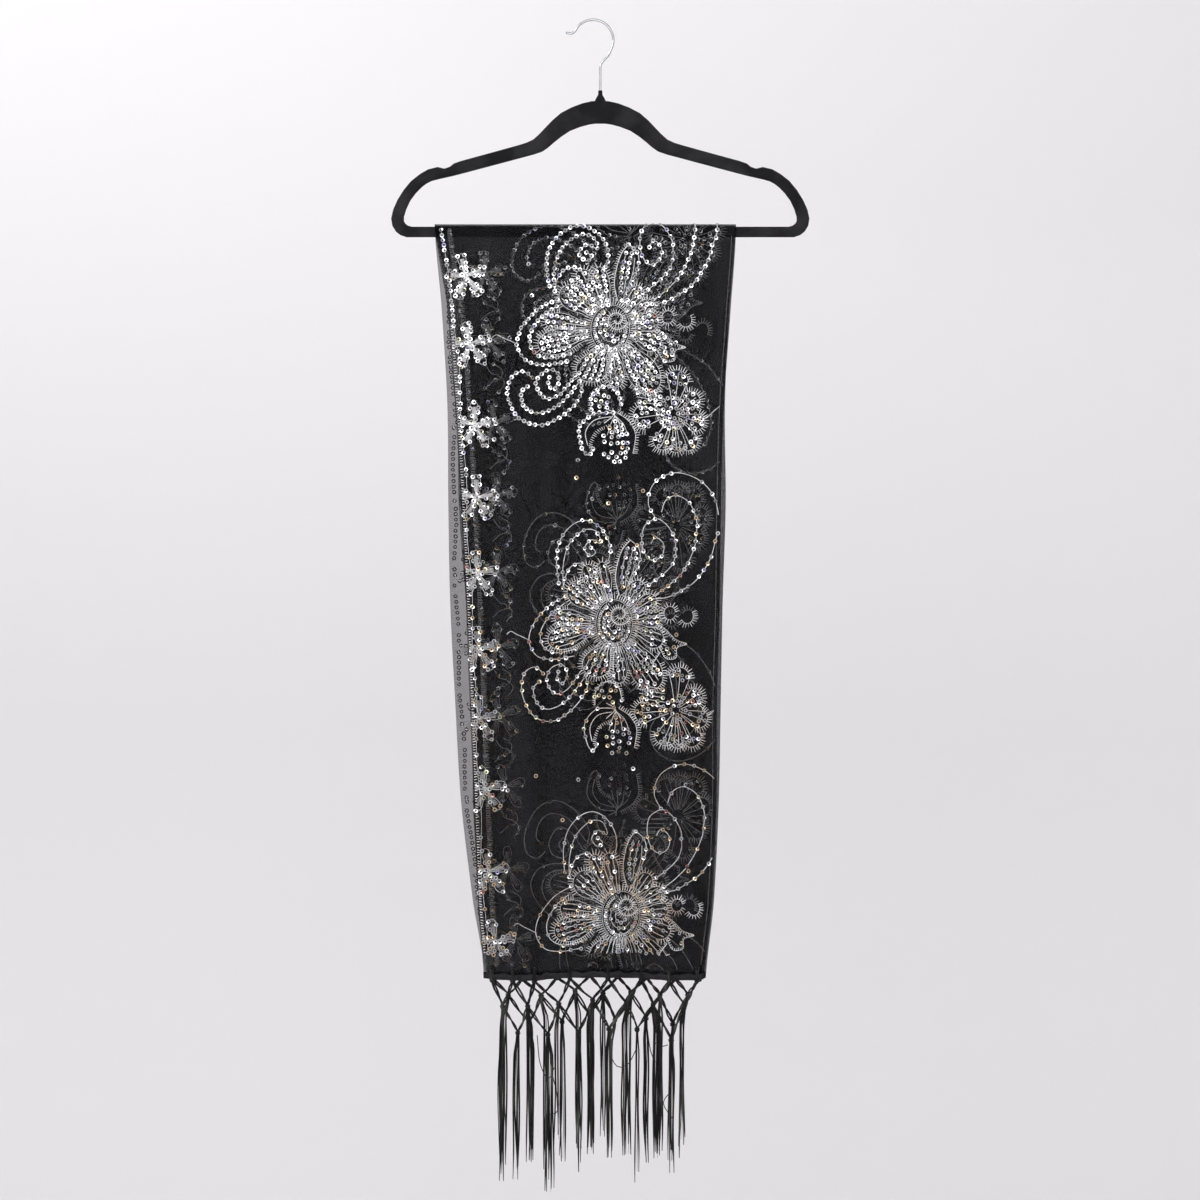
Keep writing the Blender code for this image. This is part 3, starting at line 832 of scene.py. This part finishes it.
def moveFlower(stitches, target, row, flip, seed):
    random = np.random.default_rng(seed)
    bends = random.uniform(-1, 1, (4, 2))

    def place(points):
        # hand work is never quite the same twice: a slow sway of up to 2 mm
        x, y = points[:, 0], points[:, 1]
        sway = sum(
            np.outer(np.sin(x / 31 + k * 1.7) * np.cos(y / 27 - k), bends[k]) for k in range(4)
        )
        x = np.where(x < 0, x * row["stretch"], x) + sway[:, 0]
        return np.column_stack([row["x"] + x, row["along"] - flip * (y + sway[:, 1])])

    stitches.copyTo(target, place)


def starRows(side, layer):
    if side == front:
        shift = layout["ghostShift"] if layer == 0 else 0.0
        return [(x + shift, down - 3 * (layer == 0)) for x, down in layout["frontStars"]]
    rows = []
    for down in np.arange(58 - 8 * layer, shawl["dropLength"] - 30, layout["starStep"]):
        left, _ = clothEdges(np.array(back), np.array(float(down)))
        inset = layout["starInset"] + (layout["ghostShift"] if layer == 0 else 0.0)
        rows.append((float(left) + inset, -down - bendArc(layer)))
    return rows


def edgeLine(side, layer, inset, start, end, step=6.0):
    # a line at an even distance from the selvedge or, with an inset below zero, from the fold
    down = np.arange(start, end, step)
    left, right = clothEdges(np.full(len(down), side), down)
    return np.column_stack([(left if inset > 0 else right) + inset, alongDrop(side, down, layer)])


def sewBorder(target, side, layer, keep):
    shift = border["innerShift"] if layer == 0 else 0.0
    end = shawl["dropLength"] - sewing["hemMargins"][layer]
    beads = edgeLine(side, layer, border["beadInset"] + shift, 2, end)
    beads[:, 0] += border["sway"] * np.sin(beads[:, 1] / border["swayLength"])
    # fewer beads are left on the front's border lower down
    worn = 0.4 if side == front and layer == 1 else 0.95
    target.sequinRow(beads[:border["fullPoints"]], border["beadGaps"][0], keep)
    target.sequinRow(beads[border["fullPoints"]:], border["beadGaps"][1], keep * worn)
    if side == front:
        target.thread(beads, 0.5)
    if layer == 0:
        target.lashRow(edgeLine(side, layer, border["chainInset"], 2, end), 5.4, side=side, spacing=1.9)
        target.thread(edgeLine(side, layer, -border["foldInset"], 8, end), 0.75)
    target.lashRow(edgeLine(side, layer, border["selvedgeInset"], 2, end), 3.0, side=side, spacing=2.9)
    for x, along in starRows(side, layer) * (layer == 0):
        for points in border["stems"]:
            line = np.array(points, float) * (1, -side) + (x, along)
            target.thread(line, 0.7)
            target.sequinRow(line, 6.4, keep * 0.6)


def sewLayer(side, layer, flowers, seed, keep):
    target = Stitches(seed, 6.0, keep)
    for k, values in enumerate(flowers):
        row = dict(zip(layout["flowerColumns"], values))
        drawn = drawFlower(seed + k, row["every"], row["keep"], row["swell"], withJumps=layer == 1)
        moveFlower(drawn, target, row, 1 if layer == 1 else -1, seed + k)
    for k, (x, along) in enumerate(starRows(side, layer)):
        down = float(dropPlace(np.array(along), layer)[1])
        full = 1 - ease((down - star["thinsFrom"]) / star["thinsOver"])
        drawn = drawStar(seed + 20 + k, keep, full)
        angle = np.random.default_rng(seed + k).uniform(-0.12, 0.12)
        turn = np.array([[math.cos(angle), -math.sin(angle)], [math.sin(angle), math.cos(angle)]])
        drawn.copyTo(target, lambda p, x=x, along=along, turn=turn: (p @ turn) * (1, -1) + (x, along))
    sewBorder(target, side, layer, keep)
    if layer == 1:
        random = target.random
        down = random.uniform(20, shawl["dropLength"] - 20, layout["strays"])
        x = random.uniform(-110, 115, layout["strays"])
        target.sequins.append(np.column_stack([x, alongDrop(side, down, layer), np.ones(len(x))]))
    return target


def onCloth(x, along, layer):
    # sewing that would pass a selvedge, the fold or the hem is left out
    side, down = dropPlace(along, layer)
    across = acrossOf(x, along, layer)
    margin = sewing["edgeMargin"]
    low = shawl["dropLength"] - sewing["hemMargins"][layer]
    selvedge = margin + 1.3 * innerSelvedge(side) * (layer == 0)
    return (across > selvedge) & (across < 1 - margin) & (down < low)


def fromTemplate(name, shape, places, axes, material):
    # one small shape copied to many places, joined as one mesh
    shape.verts.index_update()
    points = np.array([vert.co for vert in shape.verts])
    corners = np.array([[vert.index for vert in face.verts] for face in shape.faces])
    shape.free()
    moved = places[:, None, :] + sum(points[:, k][None, :, None] * axes[k][:, None, :] for k in range(3))
    count = len(places)
    faces = (np.arange(count)[:, None, None] * len(points) + corners[None]).reshape(-1, corners.shape[1])
    mesh = bpy.data.meshes.new(name)
    mesh.from_pydata((moved.reshape(-1, 3) * mm).tolist(), [], faces.tolist())
    return addPiece(name, mesh, material)


def sequinShape(sides):
    # a dished ring: rim, hole and underside turned round the middle
    radius, hole = sewing["sequinRadius"], sewing["holeRadius"]
    return turned([(radius, 0.22), (hole, 0.05), (radius * 0.6, -0.16)], sides, closed=True)


def lashShape():
    bm = bmesh.new()
    bmesh.ops.create_cone(bm, cap_ends=True, segments=3, radius1=1.0, radius2=0.55, depth=1.0)
    bmesh.ops.triangulate(bm, faces=bm.faces)
    bmesh.ops.translate(bm, verts=bm.verts, vec=(0, 0, 0.5))
    bmesh.ops.remove_doubles(bm, verts=bm.verts, dist=0.001)
    bmesh.ops.recalc_face_normals(bm, faces=bm.faces)
    return bm


tints = {  # colour, share at the top of a drop, share at its hem
    "silver": ((0.80, 0.80, 0.81), 0.58, 0.46),
    # white sequins are real, and their larger share at the top is partly painted highlight for the flashes of light
    # there
    "white": ((0.98, 0.98, 1.00), 0.31, 0.12),
    "blueViolet": ((0.62, 0.62, 0.86), 0.05, 0.02),
    "olive": ((0.62, 0.62, 0.48), 0.04, 0.09),
    "peach": ((0.82, 0.64, 0.45), 0.015, 0.26),
    "rose": ((0.60, 0.33, 0.30), 0.005, 0.05),
}


def sequinTints(down, random):
    # silver above, with more peach and rose ones lower down
    low = ease((down - sewing["tintsTurnFrom"]) / sewing["tintsTurnOver"])[:, None]
    colours = np.array([row[0] for row in tints.values()])
    shares = lerp(np.array([row[1] for row in tints.values()]), np.array([row[2] for row in tints.values()]), low)
    picked = (random.random((len(down), 1)) > np.cumsum(shares, axis=1)).sum(axis=1)
    picked = np.minimum(picked, len(colours) - 1)
    # each sequin's tone differs at random, and all are darkened further down the drop: painted shade
    shade = random.uniform(0.7, 1.0, (len(down), 1)) * lerp(1.0, 0.78, low)
    return colours[picked] * shade


def thinOut(rows):
    # no sequin lies on another: one too near to an earlier one is left off
    gap = sewing["sequinGap"]
    kept, cells = [], {}
    for index, (x, along, size) in enumerate(rows):
        column, line = math.floor(x / gap), math.floor(along / gap)
        near = [
            other for i in (-1, 0, 1) for j in (-1, 0, 1) for other in cells.get((column + i, line + j), ())
        ]
        if all(math.hypot(x - rows[k][0], along - rows[k][1]) > gap * size for k in near):
            cells.setdefault((column, line), []).append(index)
            kept.append(index)
    return rows[kept]


def buildSequins(name, stitches, layer, sides):
    rows = np.vstack(stitches.sequins)
    rows = stitches.placed = thinOut(rows[onCloth(rows[:, 0], rows[:, 1], layer)])
    x, along, size = rows.T
    random = stitches.random
    here, right, outward = clothFrame(x, along, layer)
    tilt = random.normal(0, sewing["tilt"], (len(x), 2))
    lower = np.cross(outward, right)
    normal = unit(outward + right * tilt[:, :1] + lower * tilt[:, 1:])
    spin = random.uniform(0, math.tau, (len(x), 1))
    side = unit(np.cross(normal, right * np.cos(spin) + lower * np.sin(spin)))
    other = np.cross(normal, side)
    lift = sewing["sequinLift"] + random.uniform(0, 0.25, (len(x), 1))
    places = here + outward * lift
    axes = [side * size[:, None], other * size[:, None], normal]
    shape = sequinShape(sides)
    shape.normal_update()
    # each sequin's underside faces are painted nearly black: painted shade of their backs
    paintedShade = np.array([sewing["underside"] if face.normal.z < 0 else 1.0 for face in shape.faces for _ in face.verts])
    piece = fromTemplate(name, shape, places, axes, sequinFoil)
    _, down = dropPlace(along, layer)
    colours = (sequinTints(down, random)[:, None, :] * paintedShade[None, :, None]).reshape(-1, 3)
    tint = piece.data.color_attributes.new("tint", "FLOAT_COLOR", "CORNER")
    tint.data.foreach_set("color", np.column_stack([colours, np.ones(len(colours))]).ravel())
    piece.data.shade_smooth()
    piece.data.set_sharp_from_angle(angle=math.radians(40))
    return piece


def buildLashes(name, stitches, layer):
    rows = np.vstack(stitches.lashes)
    inside = onCloth(rows[:, 0], rows[:, 1], layer) & onCloth(rows[:, 2], rows[:, 3], layer)
    rows = rows[inside]
    lift = sewing["threadLift"]
    start, _, startOut = clothFrame(rows[:, 0], rows[:, 1], layer)
    end, _, endOut = clothFrame(rows[:, 2], rows[:, 3], layer)
    start, end = start + startOut * lift, end + endOut * (lift - 0.12)
    run = end - start
    sideways = unit(np.cross(startOut, run))
    radius = sewing["lashRadius"] * (1.0 if layer else 1.5) * stitches.random.uniform(0.8, 1.25, (len(rows), 1))
    axes = [np.cross(unit(run), sideways) * -radius, sideways * radius, run]
    return fromTemplate(name, lashShape(), start, axes, silverThread)


def threadMesh(name, lines, radius, resolution):
    # every line becomes a thin round thread, and all of them are one mesh
    curve = bpy.data.curves.new(name, "CURVE")
    curve.dimensions = "3D"
    curve.bevel_depth = radius * mm
    curve.bevel_resolution = resolution
    curve.use_fill_caps = True
    for points, thickness in lines:
        spline = curve.splines.new("POLY")
        spline.points.add(len(points) - 1)
        spline.points.foreach_set("co", np.column_stack([points * mm, np.ones(len(points))]).ravel())
        spline.points.foreach_set("radius", np.broadcast_to(thickness, len(points)).astype(float))
    holder = newObject(name, curve)
    bpy.context.view_layer.update()
    mesh = bpy.data.meshes.new_from_object(holder)
    bpy.data.objects.remove(holder)
    bpy.data.curves.remove(curve)
    mesh.shade_smooth()
    return mesh


def buildThreads(name, stitches, layer):
    # a thread dips under the net at each sequin, so that the sequin's hole stays dark
    tree = KDTree(len(stitches.placed))
    for k, (x, along, _) in enumerate(stitches.placed):
        tree.insert((x, along, 0), k)
    tree.balance()
    lines = []
    for line, thickness in stitches.threads:
        inside = onCloth(line[:, 0], line[:, 1], layer)
        breaks = np.flatnonzero(np.diff(inside.astype(int))) + 1
        for run in np.split(np.arange(len(line)), breaks):
            if len(run) > 1 and inside[run[0]]:
                here, _, outward = clothFrame(line[run, 0], line[run, 1], layer)
                apart = np.array([tree.find((x, along, 0))[2] for x, along in line[run]])
                lift = sewing["threadLift"] - sewing["dipDepth"] * ease(sewing["dipReach"] - apart)
                lumps = stitches.random.uniform(0.65, 1.3, len(run)) * (1.0 if layer else 1.3)
                lines.append((here + outward * lift[:, None], thickness * lumps))
    mesh = threadMesh(name, lines, sewing["threadRadius"], 0)
    return addPiece(name, mesh, silverThread)


def sewOn(word, side, layer, flowers, seed, keep, sides):
    stitches = sewLayer(side, layer, layout[flowers], seed, keep)
    made = [
        buildSequins("sequins" + word, stitches, layer, sides),
        buildLashes("lashes" + word, stitches, layer),
        buildThreads("threads" + word, stitches, layer),
    ]
    print(word, "sewn:", len(stitches.placed), "sequins,", [len(piece.data.loop_triangles) for piece in made])
    return made


# name, side, layer, flowers, seed, share of sequins kept, sides of a sequin
sewnLayers = [
    ("Front", front, 1, "frontFlowers", 11, 0.92, 8),
    ("InsideFront", front, 0, "frontGhosts", 47, 0.8, 6),
    ("Back", back, 1, "backFlowers", 83, 0.9, 7),
    ("InsideBack", back, 0, "backGhosts", 129, 0.8, 5),
]
sewn = [piece for row in sewnLayers for piece in sewOn(*row)]


# Knotted fringes, in millimetres: x, and the drop below the hem
fringe = {
    "threadRadius": 1.0,
    "pairSpread": 2.3,
    "cordSag": 0.6,
    "knotHeight": 4.4,
    "knotRadius": 2.0,
    "knotTurns": 2.4,
    "gatherLength": 26.0,
    "strandStep": 7.0,
    "freeEndWave": 0.4,
    "calmsOver": 150.0,
    "frontHeads": [-108.5, -85.9, -62.6, -24.7, 16.1, 51.6, 81.6, 111.5],
    # knot x, knot drop, tassel x, tip drop, strands
    "frontUpper": [
        (-96.7, 27, -97.7, 221, 3), (-69.8, 26, -67.7, 200, 4), (-36.8, 26, -39.1, 186, 2),
        (-0.3, 23, -2.7, 195, 4), (36.0, 27, 33.3, 196, 3), (64.4, 26, 68.7, 197, 5),
        (98.3, 25, 95.0, 196, 2),
    ],
    "frontLower": [
        (-80.6, 55, -82.2, 219, 4), (-48.3, 58, -46.7, 233, 5), (-15.5, 58, -14.0, 214, 2),
        (17.2, 54, 17.2, 199, 4), (47.3, 54, 47.3, 225, 2), (83.8, 63, 84.3, 212, 3),
    ],
    "backHeads": [-108.0, -76.3, -38.7, -3.2, 26.9, 58.0, 89.1, 114.5],
    "backUpper": [
        (-91.3, 17, -95.6, 205, 3), (-55.8, 17, -50.5, 210, 3), (-19.3, 15, -16.1, 190, 3),
        (10.7, 18, 10.7, 178, 3), (40.8, 16, 37.6, 196, 3), (72.0, 17, 72.0, 190, 3),
        (102.0, 17, 95.6, 185, 2),
    ],
    "backLower": [
        (-68.7, 46, -65.5, 200, 2), (-33.3, 47, -32.8, 203, 3), (-3.2, 44, -2.1, 190, 3),
        (23.6, 46, 18.3, 190, 3), (56.9, 43, 56.9, 204, 3), (85.9, 48, 83.8, 200, 3),
    ],
    # threads that came loose, as x and drop
    "frontStrays": [
        [(-47, 66), (-44, 100), (-38, 128), (-37, 140), (-41, 146), (-50, 146)],
        [(17, 62), (19, 84), (27, 97), (38, 93), (46, 78)],
        [(70, 45), (66, 66), (72, 72), (80, 70)],
        [(84, 120), (76, 130), (77, 138), (86, 150)],
        [(-97, 60), (-101, 90), (-102, 130), (-100, 190)],
    ],
    "backStrays": [[(-60, 62), (-57, 92), (-48, 110), (-42, 98)], [(58, 52), (62, 80), (69, 92), (73, 70)]],
}


def hemPoint(side, x, drop, outward=0.0):
    x, drop = np.broadcast_arrays(np.array(x, float), np.array(drop, float))
    along = np.full(x.shape, alongDrop(side, shawl["dropLength"], 0.5))
    points = clothAt(acrossOf(x, along, 0.5), along, 0.5)
    points[..., 1] *= lerp(1.0, fringe["freeEndWave"], ease(drop / fringe["calmsOver"]))
    points[..., 1] += side * outward
    points[..., 2] -= drop
    return points


def cordPair(side, start, end, random):
    # two threads side by side that cross once and hang a little
    (x0, drop0), (x1, drop1) = start, end
    t = np.linspace(0, 1, 9)
    lines = []
    for way in (-1, 1):
        part = way * fringe["pairSpread"] * np.sin(math.pi * t) * np.cos(math.pi * t * random.uniform(0.4, 1.3))
        x = lerp(x0, x1, t) + part
        drop = lerp(drop0, drop1, t) + fringe["cordSag"] * np.sin(math.pi * t)
        outward = 0.45 * way * np.cos(math.pi * t)
        lines.append((hemPoint(side, x, drop, outward), random.uniform(0.9, 1.2)))
    return lines


def knotTurns(side, x, drop, random):
    # a lumpy knot: a thread wound round the gathered cords
    t = np.linspace(0, 1, 22)
    angle = math.tau * fringe["knotTurns"] * t + random.uniform(0, math.tau)
    radius = fringe["knotRadius"] * (0.75 + 0.35 * np.sin(math.pi * t)) * random.uniform(0.9, 1.15)
    wrap = hemPoint(side, x + radius * np.cos(angle), drop + lerp(0.2, fringe["knotHeight"], t))
    wrap[:, 1] += 0.8 * radius * np.sin(angle)
    core = hemPoint(side, np.full(5, x), drop + np.linspace(-0.6, fringe["knotHeight"] + 0.8, 5))
    return [(wrap, 0.95), (core, np.array([0.8, 2.0, 2.6, 2.2, 1.1]))]


def tassel(side, row, random):
    knotX, knotDrop, tasselX, tipDrop, strands = row
    start = knotDrop + fringe["knotHeight"] - 0.8
    count = strands + 1
    lines = []
    for k in range(count):
        place = k - (count - 1) / 2
        tip = tipDrop - 4 - random.uniform(0, 14) * (k % 3 > 0)
        drop = np.linspace(start, tip, round((tip - start) / fringe["strandStep"]) + 1)
        gathered = ease((drop - start) / fringe["gatherLength"])
        sway = random.uniform(0.2, 0.7) * np.sin(drop / random.uniform(17, 30) + random.uniform(0, math.tau))
        loose = random.normal(0, 1.1) * ease((drop - 0.6 * tip) / (0.5 * tip))
        x = lerp(knotX + place * 0.5, tasselX + place * 1.5, gathered) + (sway + loose) * gathered
        outward = gathered * (0.55 * math.cos(2.4 * k) + 0.4 * np.sin(drop / 21 + k))
        full = 0.4 if k == count // 2 else random.uniform(0.8, 1.1)  # one thin thread in each tassel
        thickness = np.interp(drop, [start, tip - 30, tip], [full, full, 0.4 * full])
        lines.append((hemPoint(side, x, drop, outward), thickness))
    return lines


def buildFringe(name, word, side, seed, solid):
    random = np.random.default_rng(seed)
    heads, upper, lower = fringe[word + "Heads"], fringe[word + "Upper"], fringe[word + "Lower"]
    lines = []
    for head in heads:
        for sideways in (-0.9, 0.2, 1.0):  # the threads come down over the band before they part
            climb = np.array([-15 + random.uniform(0, 7), -6, -1.5, 2.5])
            lines.append((hemPoint(side, head + sideways * np.array([1.8, 1.2, 0.7, 0.4]), climb, 1.6), 0.8))
        lines += knotTurns(side, head, -0.6, random)
    middle = fringe["knotHeight"] / 2
    for i, (x, drop, *_) in enumerate(upper):
        for head in heads[i:i + 2]:
            lines += cordPair(side, (head, 1.5), (x, drop + 1), random)
    for i, (x, drop, *_) in enumerate(lower):
        for knot in upper[i:i + 2]:
            lines += cordPair(side, (knot[0], knot[1] + middle), (x, drop + 1), random)
    for row in upper + lower:
        lines += knotTurns(side, row[0], row[1], random)
        lines += tassel(side, row, random)
    for points in fringe[word + "Strays"]:
        x, drop = smoothLine(points, 5.0).T
        lines.append((hemPoint(side, x, drop, 1.2), 0.5))
    mesh = threadMesh(name, lines, fringe["threadRadius"], 1)
    piece = addPiece(name, mesh, fringeThread)
    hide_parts(solid)
    return piece


frontFringe = buildFringe("frontFringe", "front", front, 5, "front_fringe")
backFringe = buildFringe("backFringe", "back", back, 6, "back_fringe")
print("fringes knotted")


# The hanger's hook, in metres, on its solid's route
hook = {
    "wireRadius": 0.0013,
    "bowRadius": 0.0218,
    "shankX": 0.0078,
    "shankEndZ": -0.0807,
    "arcDegrees": (138, -28),
    "tip": [(-0.0293, -0.0125), (-0.0261, -0.0133), (-0.0228, -0.0133), (-0.0196, -0.0112)],
    "slant": [(0.0165, -0.0365), (0.0103, -0.0437), (0.0083, -0.0468)],
}


def buildHook():
    centreZ = hook["wireRadius"] - hook["bowRadius"]
    bow = ring((0, centreZ), hook["bowRadius"], hook["bowRadius"], *hook["arcDegrees"], 15)
    shank = [(hook["shankX"], -0.0505), (hook["shankX"], hook["shankEndZ"])]
    route = np.vstack([hook["tip"], bow, hook["slant"], shank])
    line = smoothLine(route, 0.0016)
    points = np.column_stack([line[:, 0], np.zeros(len(line)), line[:, 1]]) / mm
    thickness = np.ones(len(points))
    thickness[0] = 0.7  # the tip is tumbled round
    mesh = threadMesh("hookWire", [(points, thickness)], hook["wireRadius"] / mm, 4)
    wire = addPiece("hookWire", mesh, platedWire)
    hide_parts("hanger_hook")
    return wire


hookWire = buildHook()
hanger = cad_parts["hanger_frame"]
for materialSlot in hanger.material_slots:
    materialSlot.material = blackFlock
print("hanger finished")


# Stage, light and camera, in metres
studio = {
    "floorZ": -2.2,
    "radius": 4.0,
    "cove": 1.2,
    "wallTopZ": 3.4,
    "paper": (0.812, 0.802, 0.814),
    "sky": (0.98, 0.98, 1.0),
    "skyStrength": 0.37,
    "cameraPlace": (0.0075, -2.291, -0.6218),
    "lens": 64,
    "sensorWidth": 36,
    # name, place, what it faces, width, watts
    "lights": [
        ("keyLight", (-2.0, -2.2, 1.5), (0, 0, -0.6), 1.6, 54),
        ("frontLight", (-0.3, -3.3, 0.1), (0, 0, -0.6), 2.0, 40),
        ("wallLight", (-1.0, 1.2, 2.7), (-0.4, 4, 1.2), 2.2, 54),
        ("sideLight", (-2.4, 1.4, 1.8), (-1.2, 4, 0.6), 1.4, 11),
        ("rearLight", (1.2, 2.8, 1.7), (0, 0, -0.6), 1.6, 12),
    ],
}


def buildBackdrop():
    radius, cove, floorZ = studio["radius"], studio["cove"], studio["floorZ"]
    bend = ring((radius - cove, floorZ + cove), cove, cove, -90, 0, 9)
    profile = [(0.0, floorZ), (1.4, floorZ), *bend.tolist(), (radius, 1.0), (radius, studio["wallTopZ"])]
    mesh = closeMesh("backdrop", turned(profile, 72))
    mesh.flip_normals()
    paper, _ = newMaterial("studioPaper", 0.9, studio["paper"])
    matt = addNode(paper, "ShaderNodeBsdfDiffuse", Color=(*studio["paper"], 1))
    join(paper, matt.outputs["BSDF"], paper.node_tree.nodes["Material Output"].inputs["Surface"])
    mesh.materials.append(paper)
    newObject("backdrop", mesh)


def addLights():
    for name, place, target, width, watts in studio["lights"]:
        data = bpy.data.lights.new(name, "AREA")
        data.shape = "DISK"
        data.size = width
        data.energy = watts
        light = newObject(name, data)
        light.location = place
        light.rotation_euler = (Vector(target) - Vector(place)).to_track_quat("-Z", "Y").to_euler()
    world = bpy.data.worlds.new("studioSky")
    world.use_nodes = True
    sky = world.node_tree.nodes["Background"]
    sky.inputs["Color"].default_value = (*studio["sky"], 1)
    sky.inputs["Strength"].default_value = studio["skyStrength"]
    bpy.context.scene.world = world


def addCamera():
    data = bpy.data.cameras.new("photoCamera")
    data.lens = studio["lens"]
    data.sensor_width = studio["sensorWidth"]
    camera = newObject("photoCamera", data)
    camera.location = studio["cameraPlace"]
    camera.rotation_euler = (math.radians(90), 0, 0)
    bpy.context.scene.camera = camera


buildBackdrop()
addLights()
addCamera()
bpy.context.scene.view_settings.view_transform = "Standard"
bpy.context.scene.cycles.transparent_max_bounces = 20
print("studio lit")
